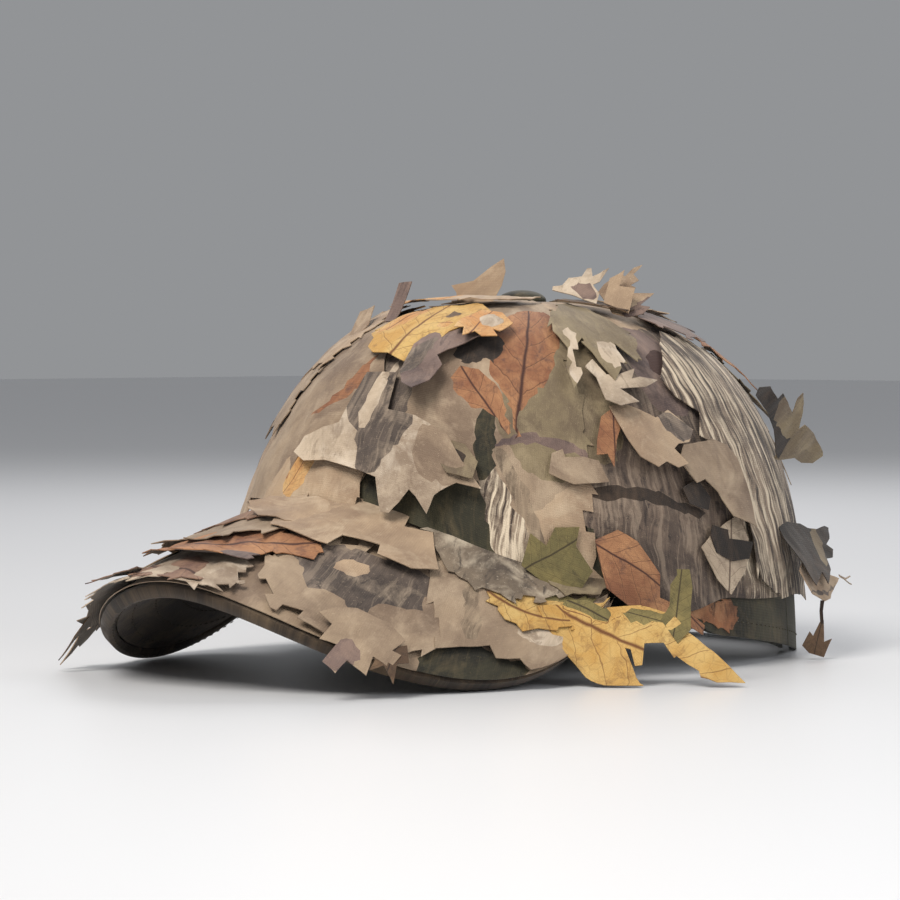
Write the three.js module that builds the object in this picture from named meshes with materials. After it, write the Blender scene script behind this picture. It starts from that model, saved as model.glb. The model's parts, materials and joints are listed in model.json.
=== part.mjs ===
// A leaf-cut camouflage cap, in millimetres: a six-panel baseball cap with a curved visor, a strap closure
// behind, and an outer layer of leaf-cut cloth with loose leaves sewn to it.
// +Z is up, the visor points along -Y, and the wearer's left is +X. The cap stands on its hem and visor corners.
// An azimuth turns from the front (-Y) towards the wearer's left (+X).
import * as THREE from "three";

const DEGREE = Math.PI / 180;

// Crown: the outer face of the leaf-cut layer, from which every layer below is an inset.
const CROWN_HALF_WIDTH = 83.5;
const FRONT_REACH = 98;
const REAR_REACH = 105.5;
const CROWN_HEIGHT = 117;
const SIDE_ROUNDNESS = 2.6;
const FRONT_ROUNDNESS = 2.9;
const FRONT_LEAN = 0.26;
const SIDE_HEM_HEIGHT = 10;
const SIDE_HEM_AZIMUTH = 95 * DEGREE;
const REAR_HEM_AZIMUTH = 134 * DEGREE;
const PANEL_COUNT = 6;
const PANEL_SPAN = (2 * Math.PI) / PANEL_COUNT;

// Cloth and board thicknesses, and the clearances between layers.
const LEAF_CLOTH = 0.8;
const PANEL_CLOTH = 1.0;
const BUCKRAM = 0.6;
const TAPE_CLOTH = 0.7;
const SWEATBAND_THICKNESS = 1.2;
const STRAP_CLOTH = 1.0;
const PATCH_CLOTH = 0.7;
const BOARD_THICKNESS = 2.0;
const VISOR_CLOTH = 0.7;
const LAYER_GAP = 0.8;
const SEWN_GAP = 0.35;
const SEAM_GAP = 0.5;

// Insets of the crown's layers from its outer face, each below the one before.
const PANEL_TOP = -(LEAF_CLOTH + LAYER_GAP);
const BUCKRAM_TOP = PANEL_TOP - PANEL_CLOTH - LAYER_GAP;
const TAPE_TOP = BUCKRAM_TOP - BUCKRAM - LAYER_GAP;
const SWEATBAND_TOP = TAPE_TOP - TAPE_CLOTH - LAYER_GAP;
const HOOK_TAB_TOP = PANEL_TOP - PANEL_CLOTH - LAYER_GAP;
const HOOK_PATCH_TOP = HOOK_TAB_TOP - STRAP_CLOTH - SEWN_GAP;
const LOOP_PATCH_TOP = HOOK_PATCH_TOP - PATCH_CLOTH - SEWN_GAP;
const LOOP_TAB_TOP = LOOP_PATCH_TOP - PATCH_CLOTH - SEWN_GAP;

// Visor: a tilted arch, measured on the top face of its leaf-cut layer.
const VISOR_HALF_SPAN = 66 * DEGREE;
const VISOR_LENGTH = 60;
const VISOR_HALF_WIDTH = CROWN_HALF_WIDTH + 1.5;
const VISOR_OUTLINE_ROUNDNESS = 2.3;
const VISOR_FRONT_HEIGHT = 31.9;
const VISOR_SLOPE = 0.37;
const VISOR_SIDE_DROP = 62;
const VISOR_TUCK = 4;
const VISOR_BINDING_WIDTH = 2.4;
const VISOR_TOP_CLOTH_TOP = -(LEAF_CLOTH + SEWN_GAP);
const BOARD_TOP = VISOR_TOP_CLOTH_TOP - VISOR_CLOTH - SEWN_GAP;
const VISOR_UNDER_CLOTH_TOP = BOARD_TOP - BOARD_THICKNESS - SEWN_GAP;
const VISOR_UNDERSIDE = VISOR_UNDER_CLOTH_TOP - VISOR_CLOTH;

// Rear opening, strap and sweatband.
const ARCH_HALF_SPAN = 36 * DEGREE;
const ARCH_HEIGHT = 52;
const ARCH_BINDING_WIDTH = 4;
const STRAP_WIDTH = 20;
const STRAP_RISE = 1.5;
const STRAP_OVERLAP_HALF_SPAN = 16 * DEGREE;
const STRAP_SEWN_SPAN = 9 * DEGREE;
const PATCH_MARGIN = 2;
const SWEATBAND_WIDTH = 30;
const SWEATBAND_HALF_SPAN = 132 * DEGREE;
const TAPE_WIDTH = 11;

// Button at the crown's top.
const BUTTON_RADIUS = 8;
const BUTTON_DOME = 3.6;
const SHANK_RADIUS = 2;
const SHANK_HOLE_RADIUS = 3.2;
const BACK_THICKNESS = 1.2;

// The leaf-cut layer: its edge above the hem at the sides and rear, and the cut teeth of that edge.
const COVER_RISE = 18;
const COVER_TOOTH = 5;
const COVER_TOP_RADIUS = BUTTON_RADIUS + 3;
const LEAF_STAND = 0.6;
const TABLE_CLEARANCE = 1;
const YELLOW_LEAF_TUCK = 2.7;

const COLOURS = {
  baseCloth: { color: 0x2e3322, roughness: 0.9, metalness: 0 },
  buckram: { color: 0xd8d4c8, roughness: 0.9, metalness: 0 },
  tape: { color: 0x23241c, roughness: 0.85, metalness: 0 },
  sweatband: { color: 0x3a3d2e, roughness: 0.9, metalness: 0 },
  board: { color: 0x1d1d1b, roughness: 0.55, metalness: 0 },
  metal: { color: 0x9a9a96, roughness: 0.35, metalness: 1 },
  hookPatch: { color: 0x14140f, roughness: 0.95, metalness: 0 },
  taupeLeaf: { color: 0x96826e, roughness: 0.8, metalness: 0 },
  barkLeaf: { color: 0x7a6654, roughness: 0.8, metalness: 0 },
  yellowLeaf: { color: 0xcda555, roughness: 0.75, metalness: 0 },
  darkLeaf: { color: 0x463a30, roughness: 0.8, metalness: 0 },
  stem: { color: 0x2b231c, roughness: 0.8, metalness: 0 },
};

const cap = new THREE.Group();

function addPiece(name, geometry, colour) {
  const mesh = new THREE.Mesh(geometry, new THREE.MeshStandardMaterial(colour));
  mesh.name = name;
  cap.add(mesh);
  return mesh;
}

function smoothstep(value) {
  const x = THREE.MathUtils.clamp(value, 0, 1);
  return x * x * (3 - 2 * x);
}

// ---- The visor's arched surface and the crown's dome ----

function visorHeight(x, y) {
  const alongSlope = VISOR_SLOPE * (y + FRONT_REACH + VISOR_LENGTH);
  return VISOR_FRONT_HEIGHT + alongSlope - VISOR_SIDE_DROP * (x / VISOR_HALF_WIDTH) ** 2;
}

function visorNormal(x) {
  const slopeX = (-2 * VISOR_SIDE_DROP * x) / VISOR_HALF_WIDTH ** 2;
  return new THREE.Vector3(-slopeX, -VISOR_SLOPE, 1).normalize();
}

function foldedAzimuth(azimuth) {
  return Math.abs(Math.atan2(Math.sin(azimuth), Math.cos(azimuth)));
}

function reach(azimuth) {
  return Math.cos(azimuth) > 0 ? FRONT_REACH : REAR_REACH;
}

// The hem follows the visor's top face in front, then falls to the sides and the rear.
function hemHeight(azimuth, inset) {
  const folded = foldedAzimuth(azimuth);
  const onVisor = Math.min(folded, VISOR_HALF_SPAN);
  const x = (CROWN_HALF_WIDTH + inset) * Math.sin(onVisor);
  const y = -(FRONT_REACH + inset) * Math.cos(onVisor);
  const visorTop = visorHeight(x, y) + SEWN_GAP / visorNormal(x).z;
  const fall = smoothstep((folded - VISOR_HALF_SPAN) / (SIDE_HEM_AZIMUTH - VISOR_HALF_SPAN));
  const rearward = (folded - SIDE_HEM_AZIMUTH) / (REAR_HEM_AZIMUTH - SIDE_HEM_AZIMUTH);
  const low = SIDE_HEM_HEIGHT * (1 - THREE.MathUtils.clamp(rearward, 0, 1));
  return visorTop * (1 - fall) + low * fall;
}

function roundness(azimuth) {
  const frontness = (1 + Math.cos(azimuth)) / 2;
  return SIDE_ROUNDNESS + (FRONT_ROUNDNESS - SIDE_ROUNDNESS) * frontness;
}

function leanFactor(azimuth, rise) {
  return 1 - (FRONT_LEAN * rise * (1 + Math.cos(azimuth))) / 2;
}

// A point of the dome: level runs from 0 at the hem to 1 at the top, inset is negative inwards.
function crownPoint(azimuth, level, inset) {
  const power = 2 / roundness(azimuth);
  const turn = (level * Math.PI) / 2;
  const rise = Math.sin(turn) ** power;
  const spread = Math.max(Math.cos(turn), 0) ** power * leanFactor(azimuth, rise);
  const hem = hemHeight(azimuth, inset);
  return new THREE.Vector3(
    (CROWN_HALF_WIDTH + inset) * Math.sin(azimuth) * spread,
    -(reach(azimuth) + inset) * Math.cos(azimuth) * spread,
    hem + (CROWN_HEIGHT + inset - hem) * rise,
  );
}

function levelAtHeight(azimuth, heightAboveHem) {
  const share = heightAboveHem / (CROWN_HEIGHT - hemHeight(azimuth, 0));
  return (2 / Math.PI) * Math.asin(share ** (roundness(azimuth) / 2));
}

function levelAtRadius(azimuth, radius) {
  const share = radius / (CROWN_HALF_WIDTH * leanFactor(azimuth, 1));
  return (2 / Math.PI) * Math.acos(share ** (roundness(azimuth) / 2));
}

// ---- Closed solids from curved sheets ----

// Rows of the dome's sheets crowd towards the hem by this power.
const ROW_CROWDING = 1.5;

// A sheet between two insets: pointAt(across, along, inset), whose across x along direction faces out.
function sheetSolid(pointAt, columns, rows, lowInset, highInset) {
  const positions = [];
  for (const inset of [highInset, lowInset]) {
    for (let row = 0; row <= rows; row += 1) {
      for (let column = 0; column <= columns; column += 1) {
        positions.push(...pointAt(column / columns, row / rows, inset).toArray());
      }
    }
  }
  const layer = (columns + 1) * (rows + 1);
  const corner = (column, row) => row * (columns + 1) + column;
  const index = [];
  for (let row = 0; row < rows; row += 1) {
    for (let column = 0; column < columns; column += 1) {
      const a = corner(column, row);
      const b = corner(column + 1, row);
      const c = corner(column + 1, row + 1);
      const d = corner(column, row + 1);
      index.push(a, b, c, a, c, d);
      index.push(layer + a, layer + c, layer + b, layer + a, layer + d, layer + c);
    }
  }
  for (const [p, q] of sheetEdge(columns, rows, corner)) {
    index.push(layer + p, layer + q, q, layer + p, q, p);
  }
  const geometry = new THREE.BufferGeometry();
  geometry.setAttribute("position", new THREE.Float32BufferAttribute(positions, 3));
  geometry.setIndex(index);
  geometry.computeVertexNormals();
  return geometry;
}

function sheetEdge(columns, rows, corner) {
  const edge = [];
  for (let column = 0; column < columns; column += 1) {
    edge.push([corner(column, 0), corner(column + 1, 0)]);
    edge.push([corner(column + 1, rows), corner(column, rows)]);
  }
  for (let row = 0; row < rows; row += 1) {
    edge.push([corner(columns, row), corner(columns, row + 1)]);
    edge.push([corner(0, row + 1), corner(0, row)]);
  }
  return edge;
}

// A stretch of the dome between two azimuths, with bottom and top levels that may follow the azimuth.
function crownSheet({ from, to, bottom, top, columns, rows, outer, thickness }) {
  const pointAt = (across, along, inset) => {
    const azimuth = from + (to - from) * across;
    const level = bottom(azimuth) + (top(azimuth) - bottom(azimuth)) * along ** ROW_CROWDING;
    const power = 2 / roundness(azimuth);
    const radius = CROWN_HALF_WIDTH * Math.cos((level * Math.PI) / 2) ** power;
    const margin = SEAM_GAP / 2 / radius;
    const inSeams = from + margin + (to - from - 2 * margin) * across;
    return crownPoint(inSeams, level, inset);
  };
  return sheetSolid(pointAt, columns, rows, outer - thickness, outer);
}

// ---- Base cap ----

const SIDES = [
  { side: "left", sign: 1 },
  { side: "right", sign: -1 },
];
const PANEL_PLACES = ["front", "side", "rear"];

function panelSpan(place, sign) {
  const from = PANEL_PLACES.indexOf(place) * PANEL_SPAN;
  const to = from + PANEL_SPAN;
  return sign > 0 ? { from, to } : { from: -to, to: -from };
}

// The rear opening's height above the hem, widened by an extra margin.
function archHeight(azimuth, extra) {
  const fromRear = Math.PI - foldedAzimuth(azimuth);
  const halfSpan = ARCH_HALF_SPAN + extra / REAR_REACH;
  const share = 1 - (fromRear / halfSpan) ** 2;
  return share > 0 ? (ARCH_HEIGHT + extra) * Math.sqrt(share) : 0;
}

function addCrownPanels() {
  for (const { side, sign } of SIDES) {
    for (const place of PANEL_PLACES) {
      const geometry = crownSheet({
        ...panelSpan(place, sign),
        bottom: (azimuth) => levelAtHeight(azimuth, archHeight(azimuth, ARCH_BINDING_WIDTH)),
        top: (azimuth) => levelAtRadius(azimuth, SHANK_HOLE_RADIUS),
        columns: place === "rear" ? 12 : 8,
        rows: 7,
        outer: PANEL_TOP,
        thickness: PANEL_CLOTH,
      });
      addPiece(`crown_panel_${place}_${side}`, geometry, COLOURS.baseCloth);
    }
  }
}

function addBuckram() {
  for (const { side, sign } of SIDES) {
    const geometry = crownSheet({
      ...panelSpan("front", sign),
      bottom: (azimuth) => levelAtHeight(azimuth, SEWN_GAP),
      top: (azimuth) => levelAtRadius(azimuth, BUTTON_RADIUS + 2),
      columns: 8,
      rows: 7,
      outer: BUCKRAM_TOP,
      thickness: BUCKRAM,
    });
    addPiece(`buckram_front_${side}`, geometry, COLOURS.buckram);
  }
}

function addSeamTapes() {
  const names = ["front", "front_left", "rear_left", "rear", "rear_right", "front_right"];
  names.forEach((name, number) => {
    const middle = number * PANEL_SPAN;
    const pointAt = (across, along, inset) => {
      const atArch = archHeight(middle, ARCH_BINDING_WIDTH + TAPE_WIDTH / 2);
      const bottom = levelAtHeight(middle, atArch + SEWN_GAP);
      const top = levelAtRadius(middle, BUTTON_RADIUS + TAPE_WIDTH);
      const level = bottom + (top - bottom) * along ** ROW_CROWDING;
      const spread = crownPoint(middle, level, inset);
      const radius = Math.hypot(spread.x, spread.y);
      const azimuth = middle + ((across - 0.5) * TAPE_WIDTH) / radius;
      return crownPoint(azimuth, level, inset);
    };
    const geometry = sheetSolid(pointAt, 2, 7, TAPE_TOP - TAPE_CLOTH, TAPE_TOP);
    addPiece(`seam_tape_${name}`, geometry, COLOURS.tape);
  });
}

function addSweatband() {
  const geometry = crownSheet({
    from: -SWEATBAND_HALF_SPAN,
    to: SWEATBAND_HALF_SPAN,
    bottom: (azimuth) => levelAtHeight(azimuth, SEWN_GAP),
    top: (azimuth) => levelAtHeight(azimuth, SWEATBAND_WIDTH),
    columns: 36,
    rows: 2,
    outer: SWEATBAND_TOP,
    thickness: SWEATBAND_THICKNESS,
  });
  addPiece("sweatband", geometry, COLOURS.sweatband);
}

// A cloth edging that follows the opening's arch, just inside the panels' cut edge.
function addArchBinding() {
  const pointAt = (across, along, inset) => {
    const turn = Math.PI * across;
    const width = (ARCH_BINDING_WIDTH - LAYER_GAP) * along;
    const halfSpan = ARCH_HALF_SPAN + width / REAR_REACH;
    const azimuth = Math.PI - halfSpan * Math.cos(turn);
    const height = (ARCH_HEIGHT + width) * Math.sin(turn);
    return crownPoint(azimuth, levelAtHeight(azimuth, Math.max(height, 0)), inset);
  };
  const geometry = sheetSolid(pointAt, 24, 1, PANEL_TOP - PANEL_CLOTH, PANEL_TOP);
  addPiece("rear_opening_binding", geometry, COLOURS.tape);
}

function addButton() {
  const seat = CROWN_HEIGHT + PANEL_TOP + SEWN_GAP;
  const inside = CROWN_HEIGHT + PANEL_TOP - PANEL_CLOTH - LAYER_GAP;
  const shankEnd = inside - BACK_THICKNESS - SEWN_GAP;
  const profile = [new THREE.Vector2(0, shankEnd), new THREE.Vector2(SHANK_RADIUS, shankEnd)];
  profile.push(new THREE.Vector2(SHANK_RADIUS, seat), new THREE.Vector2(BUTTON_RADIUS, seat));
  for (let step = 1; step <= 4; step += 1) {
    const turn = (step / 4) * (Math.PI / 2);
    const radius = step < 4 ? BUTTON_RADIUS * Math.cos(turn) : 0;
    profile.push(new THREE.Vector2(radius, seat + 0.8 + BUTTON_DOME * Math.sin(turn)));
  }
  const button = addPiece("top_button", new THREE.LatheGeometry(profile, 20), COLOURS.baseCloth);
  button.rotation.x = Math.PI / 2;
  const inner = SHANK_RADIUS + SEWN_GAP;
  const outer = BUTTON_RADIUS - 1;
  const ring = [
    new THREE.Vector2(inner, inside - BACK_THICKNESS),
    new THREE.Vector2(outer, inside - BACK_THICKNESS),
    new THREE.Vector2(outer, inside),
    new THREE.Vector2(inner, inside),
    new THREE.Vector2(inner, inside - BACK_THICKNESS),
  ];
  const back = addPiece("button_back", new THREE.LatheGeometry(ring, 20), COLOURS.metal);
  back.rotation.x = Math.PI / 2;
}

// ---- Visor ----

// side runs -1 to 1 across the visor; out runs 0 at the tucked edge to 1 at the bound edge.
function visorPoint(side, out, depth, trim) {
  const azimuth = side * VISOR_HALF_SPAN;
  const innerX = (CROWN_HALF_WIDTH - VISOR_TUCK) * Math.sin(azimuth);
  const innerY = -(FRONT_REACH - VISOR_TUCK) * Math.cos(azimuth);
  const backY = -FRONT_REACH * Math.cos(VISOR_HALF_SPAN);
  const length = FRONT_REACH + VISOR_LENGTH + backY - trim;
  const turn = (side * Math.PI) / 2;
  const power = 2 / VISOR_OUTLINE_ROUNDNESS;
  const endWidth = CROWN_HALF_WIDTH * Math.sin(VISOR_HALF_SPAN);
  const narrowing = 1 - (1 - endWidth / VISOR_HALF_WIDTH) * Math.abs(side) ** 8;
  const bow = Math.sign(turn) * Math.abs(Math.sin(turn)) ** power;
  const outerX = (VISOR_HALF_WIDTH * narrowing - trim) * bow;
  const outerY = backY - length * Math.max(Math.cos(turn), 0) ** power;
  const x = innerX + (outerX - innerX) * out;
  const y = innerY + (outerY - innerY) * out;
  const point = new THREE.Vector3(x, y, visorHeight(x, y));
  return point.addScaledVector(visorNormal(x), depth);
}

function visorSheet(trim, top, thickness, columns, rows) {
  const pointAt = (across, along, depth) => visorPoint(1 - 2 * across, along, depth, trim);
  return sheetSolid(pointAt, columns, rows, top - thickness, top);
}

function addVisor() {
  const trim = VISOR_BINDING_WIDTH + SEWN_GAP;
  const top = visorSheet(trim, VISOR_TOP_CLOTH_TOP, VISOR_CLOTH, 20, 4);
  const board = visorSheet(trim, BOARD_TOP, BOARD_THICKNESS, 20, 4);
  const under = visorSheet(trim, VISOR_UNDER_CLOTH_TOP, VISOR_CLOTH, 20, 4);
  addPiece("visor_top_cloth", top, COLOURS.baseCloth);
  addPiece("visor_board", board, COLOURS.board);
  addPiece("visor_under_cloth", under, COLOURS.baseCloth);
  const pointAt = (across, along, depth) => {
    const side = (1 - 2 * across) * 0.985;
    return visorPoint(side, 1, depth, VISOR_BINDING_WIDTH * (1 - along));
  };
  const binding = sheetSolid(pointAt, 40, 1, VISOR_UNDERSIDE, VISOR_TOP_CLOTH_TOP);
  addPiece("visor_edge_binding", binding, COLOURS.tape);
}

// ---- Strap closure ----

function strapSheet(from, to, outer, thickness, margin, columns) {
  const pointAt = (across, along, inset) => {
    const azimuth = from + (to - from) * across;
    const height = STRAP_RISE + margin + (STRAP_WIDTH - 2 * margin) * along;
    return crownPoint(azimuth, levelAtHeight(azimuth, height), inset);
  };
  return sheetSolid(pointAt, columns, 1, outer - thickness, outer);
}

// The turning edge of the peeled tab, just clear of the rear opening's edge.
const TAB_TURN = Math.PI - ARCH_HALF_SPAN + 5 * DEGREE;

function addStrap() {
  const gap = SEAM_GAP / REAR_REACH;
  const overlapEnd = Math.PI + STRAP_OVERLAP_HALF_SPAN;
  const overlapStart = Math.PI - STRAP_OVERLAP_HALF_SPAN;
  const sewnStart = Math.PI - ARCH_HALF_SPAN - STRAP_SEWN_SPAN;
  const sewnEnd = Math.PI + ARCH_HALF_SPAN + STRAP_SEWN_SPAN;
  const anchor = strapSheet(sewnStart, TAB_TURN - gap, HOOK_TAB_TOP, STRAP_CLOTH, 0, 3);
  const hookTab = strapSheet(TAB_TURN, overlapEnd, HOOK_TAB_TOP, STRAP_CLOTH, 0, 9);
  const inPatch = PATCH_MARGIN / REAR_REACH;
  const patchStart = overlapStart + inPatch;
  const patchEnd = overlapEnd - inPatch;
  const hook = strapSheet(patchStart, patchEnd, HOOK_PATCH_TOP, PATCH_CLOTH, PATCH_MARGIN, 6);
  const loop = strapSheet(patchStart, patchEnd, LOOP_PATCH_TOP, PATCH_CLOTH, PATCH_MARGIN, 6);
  const loopTab = strapSheet(overlapStart, sewnEnd, LOOP_TAB_TOP, STRAP_CLOTH, 0, 10);
  addPiece("strap_anchor", anchor, COLOURS.tape);
  const tab = addPiece("strap_hook_tab", hookTab, COLOURS.tape);
  const middle = crownPoint(TAB_TURN, levelAtHeight(TAB_TURN, STRAP_WIDTH / 2), HOOK_TAB_TOP);
  tab.userData.hinge = { point: middle, axis: new THREE.Vector3(0, 0, -1) };
  addPiece("hook_patch", hook, COLOURS.hookPatch);
  addPiece("loop_patch", loop, COLOURS.hookPatch);
  addPiece("strap_loop_tab", loopTab, COLOURS.tape);
}

// ---- Leaf-cut layer ----

// A row of cut teeth along an edge, each rising slowly and falling fast.
function teeth(azimuth, count, depth) {
  const phase = (foldedAzimuth(azimuth) / PANEL_SPAN) * count;
  return depth * Math.abs(2 * (phase - Math.floor(phase + 0.5)));
}

function addLeafCovers() {
  const edge = (azimuth) => {
    const rearward = smoothstep((foldedAzimuth(azimuth) - 80 * DEGREE) / (55 * DEGREE));
    const open = archHeight(azimuth, ARCH_BINDING_WIDTH + 2 * COVER_TOOTH);
    const rise = SEWN_GAP + COVER_RISE * rearward + teeth(azimuth, 5, COVER_TOOTH) * rearward;
    return levelAtHeight(azimuth, Math.max(rise, open));
  };
  for (const { side, sign } of SIDES) {
    for (const place of PANEL_PLACES) {
      const geometry = crownSheet({
        ...panelSpan(place, sign),
        bottom: edge,
        top: (azimuth) => levelAtRadius(azimuth, COVER_TOP_RADIUS),
        columns: 10,
        rows: 7,
        outer: 0,
        thickness: LEAF_CLOTH,
      });
      addPiece(`leaf_cover_${place}_${side}`, geometry, COLOURS.taupeLeaf);
    }
  }
}

// The visor's cover starts just outside the crown's cover and has a toothed front edge.
function addVisorCover() {
  const start = (VISOR_TUCK + SEAM_GAP) / VISOR_LENGTH;
  const pointAt = (across, along, depth) => {
    const side = (1 - 2 * across) * 0.97;
    const azimuth = side * VISOR_HALF_SPAN;
    const end = 1 - teeth(azimuth, 6, COVER_TOOTH) / VISOR_LENGTH;
    const nearEnd = Math.min(start / Math.max(1 - Math.abs(side) ** 3, start), 0.6);
    return visorPoint(side, nearEnd + (end - nearEnd) * along, depth, 0);
  };
  const geometry = sheetSolid(pointAt, 24, 4, -LEAF_CLOTH, 0);
  addPiece("leaf_cover_visor", geometry, COLOURS.taupeLeaf);
}

// Half the width of a lobed leaf, as a share of its full half-width, from its stalk 0 to its tip 1.
function lobedWidth(along, lobes) {
  const body = Math.sin(Math.PI * (0.12 + 0.84 * along));
  const lobe = 0.72 + 0.28 * Math.cos(2 * Math.PI * lobes * along);
  return Math.max(body * lobe, 0.08);
}

// Axes at a place on the dome: level around (towards the wearer's left at the front), up the dome, and out.
function crownAxes(azimuth, level) {
  const step = 0.01;
  const here = crownPoint(azimuth, level, 0);
  const around = crownPoint(azimuth + step, level, 0).sub(here).setZ(0).normalize();
  const up = crownPoint(azimuth, level + step, 0).sub(here);
  const out = new THREE.Vector3().crossVectors(around, up).normalize();
  up.crossVectors(out, around).normalize();
  return { here, around, up, out };
}

// The same axes for a leaf that hangs: up is plumb and out is level.
function plumbAxes(azimuth, height) {
  const { here, around } = crownAxes(azimuth, levelAtHeight(azimuth, height));
  const up = new THREE.Vector3(0, 0, 1);
  return { here, around, up, out: new THREE.Vector3().crossVectors(around, up) };
}

// A loose leaf: a thin plate from a stalk edge, turned from the dome's up direction and lifted off it.
function addLooseLeaf(name, colour, place, size) {
  const { here, around, up, out } = place.axes;
  const turn = place.turn * DEGREE;
  const lift = place.lift * DEGREE;
  const flat = up.clone().multiplyScalar(Math.cos(turn)).addScaledVector(around, Math.sin(turn));
  const along = flat.clone().multiplyScalar(Math.cos(lift)).addScaledVector(out, Math.sin(lift));
  const across = new THREE.Vector3().crossVectors(flat, out).normalize();
  const normal = new THREE.Vector3().crossVectors(across, along).normalize();
  const root = here.clone().addScaledVector(out, place.stand);
  const pointAt = (share, distance, height) => {
    const half = (size.width / 2) * lobedWidth(distance, size.lobes);
    const curl = size.curl * distance ** 2;
    return root
      .clone()
      .addScaledVector(along, size.length * distance)
      .addScaledVector(across, (2 * share - 1) * half)
      .addScaledVector(normal, height + curl);
  };
  const leaf = addPiece(name, sheetSolid(pointAt, 2, size.rows, 0, LEAF_CLOTH), colour);
  leaf.userData.hinge = { point: root, axis: across };
  return { root, along, across, normal };
}

// A loose flap that lies on the dome: the stalk edge is at its top and its tip hangs down.
function addCrownFlap(name, colour, azimuth, stalkHeight, size) {
  const stalkLevel = levelAtHeight(azimuth, stalkHeight);
  const tipLevel = levelAtHeight(azimuth, stalkHeight - size.length);
  const pointAt = (share, distance, height) => {
    const level = stalkLevel + (tipLevel - stalkLevel) * distance;
    const half = (size.width / 2) * lobedWidth(distance, size.lobes);
    const sideways = ((1 - 2 * share) * half + size.sweep * distance) / CROWN_HALF_WIDTH;
    return crownPoint(azimuth + sideways, level, height + size.stand + size.curl * distance ** 2);
  };
  const flap = addPiece(name, sheetSolid(pointAt, 4, 8, 0, LEAF_CLOTH), colour);
  const { here, around, out } = crownAxes(azimuth, stalkLevel);
  const point = here.addScaledVector(out, size.stand + LEAF_CLOTH);
  flap.userData.hinge = { point, axis: around.negate() };
}

function addCrownFlaps() {
  const front = { length: 26, width: 54, lobes: 3, sweep: 6, curl: 2.5, stand: LEAF_STAND };
  addCrownFlap("front_flap", COLOURS.taupeLeaf, 8 * DEGREE, 38, front);
  const side = { length: 26, width: 24, lobes: 2, sweep: -2, curl: 1.5, stand: LEAF_STAND };
  addCrownFlap("side_flap", COLOURS.barkLeaf, 96 * DEGREE, 62, side);
}

// The yellow leaf runs from the visor's rear end down to just above the table.
function addYellowLeaf() {
  const axes = plumbAxes(62 * DEGREE, 10);
  const turn = 148;
  const lift = 38;
  const drop = axes.here.z - TABLE_CLEARANCE - 2 * LEAF_CLOTH;
  const length = drop / (-Math.cos(turn * DEGREE) * Math.cos(lift * DEGREE));
  const visorFlare = VISOR_HALF_WIDTH - CROWN_HALF_WIDTH * Math.sin(VISOR_HALF_SPAN);
  const place = { axes, turn, lift, stand: visorFlare - YELLOW_LEAF_TUCK };
  addLooseLeaf("yellow_leaf", COLOURS.yellowLeaf, place, {
    length,
    width: 58,
    lobes: 3,
    rows: 9,
    curl: 0,
  });
}

function addTopLeaves() {
  const tipPlace = { axes: crownAxes(-20 * DEGREE, 0.86), turn: 12, lift: 38, stand: 1 };
  const tip = { length: 17, width: 15, lobes: 1, rows: 5, curl: 1 };
  addLooseLeaf("top_tip_leaf", COLOURS.taupeLeaf, tipPlace, tip);
  const crestPlace = { axes: crownAxes(95 * DEGREE, 0.74), turn: 62, lift: 24, stand: 1.2 };
  const crest = { length: 34, width: 22, lobes: 3, rows: 9, curl: 3 };
  addLooseLeaf("crest_leaf", COLOURS.barkLeaf, crestPlace, crest);
}

function addRearLeaves() {
  const upperAxes = crownAxes(124 * DEGREE, levelAtHeight(124 * DEGREE, 62));
  const upperPlace = { axes: upperAxes, turn: 20, lift: 42, stand: 1.2 };
  const upper = { length: 28, width: 34, lobes: 2, rows: 8, curl: 3 };
  addLooseLeaf("rear_upper_leaf", COLOURS.darkLeaf, upperPlace, upper);
  const lowerPlace = { axes: plumbAxes(116 * DEGREE, 40), turn: 180, lift: 32, stand: 1.2 };
  const lower = { length: 30, width: 26, lobes: 2, rows: 7, curl: 0 };
  const leaf = addLooseLeaf("rear_lower_leaf", COLOURS.darkLeaf, lowerPlace, lower);
  const tip = leaf.root.clone().addScaledVector(leaf.along, lower.length);
  addHangingLeaf(tip, leaf.across);
}

// A small leaf on a thread stem, hanging plumb from the lower rear leaf's tip.
function addHangingLeaf(tip, across) {
  const stemWidth = 1;
  const hangTop = tip.z - SEWN_GAP;
  const leafTop = hangTop * 0.62;
  const out = new THREE.Vector3(across.y, -across.x, 0).normalize();
  const level = new THREE.Vector3(out.y, -out.x, 0);
  const start = new THREE.Vector3(tip.x, tip.y, 0).addScaledVector(out, stemWidth);
  const stripAt = (top, bottom, halfWidthAt) => (share, distance, height) =>
    start
      .clone()
      .addScaledVector(level, (2 * share - 1) * halfWidthAt(distance))
      .addScaledVector(out, height)
      .setZ(top + (bottom - top) * distance);
  const stem = stripAt(hangTop, leafTop + SEWN_GAP, () => stemWidth / 2);
  const leaf = stripAt(leafTop, TABLE_CLEARANCE, (distance) => 6.5 * lobedWidth(distance, 1));
  const stemMesh = addPiece("hanging_stem", sheetSolid(stem, 1, 2, 0, LEAF_CLOTH), COLOURS.stem);
  stemMesh.userData.hinge = { point: start.clone().setZ(hangTop), axis: level };
  addPiece("hanging_leaf", sheetSolid(leaf, 2, 5, 0, LEAF_CLOTH), COLOURS.darkLeaf);
}

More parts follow.
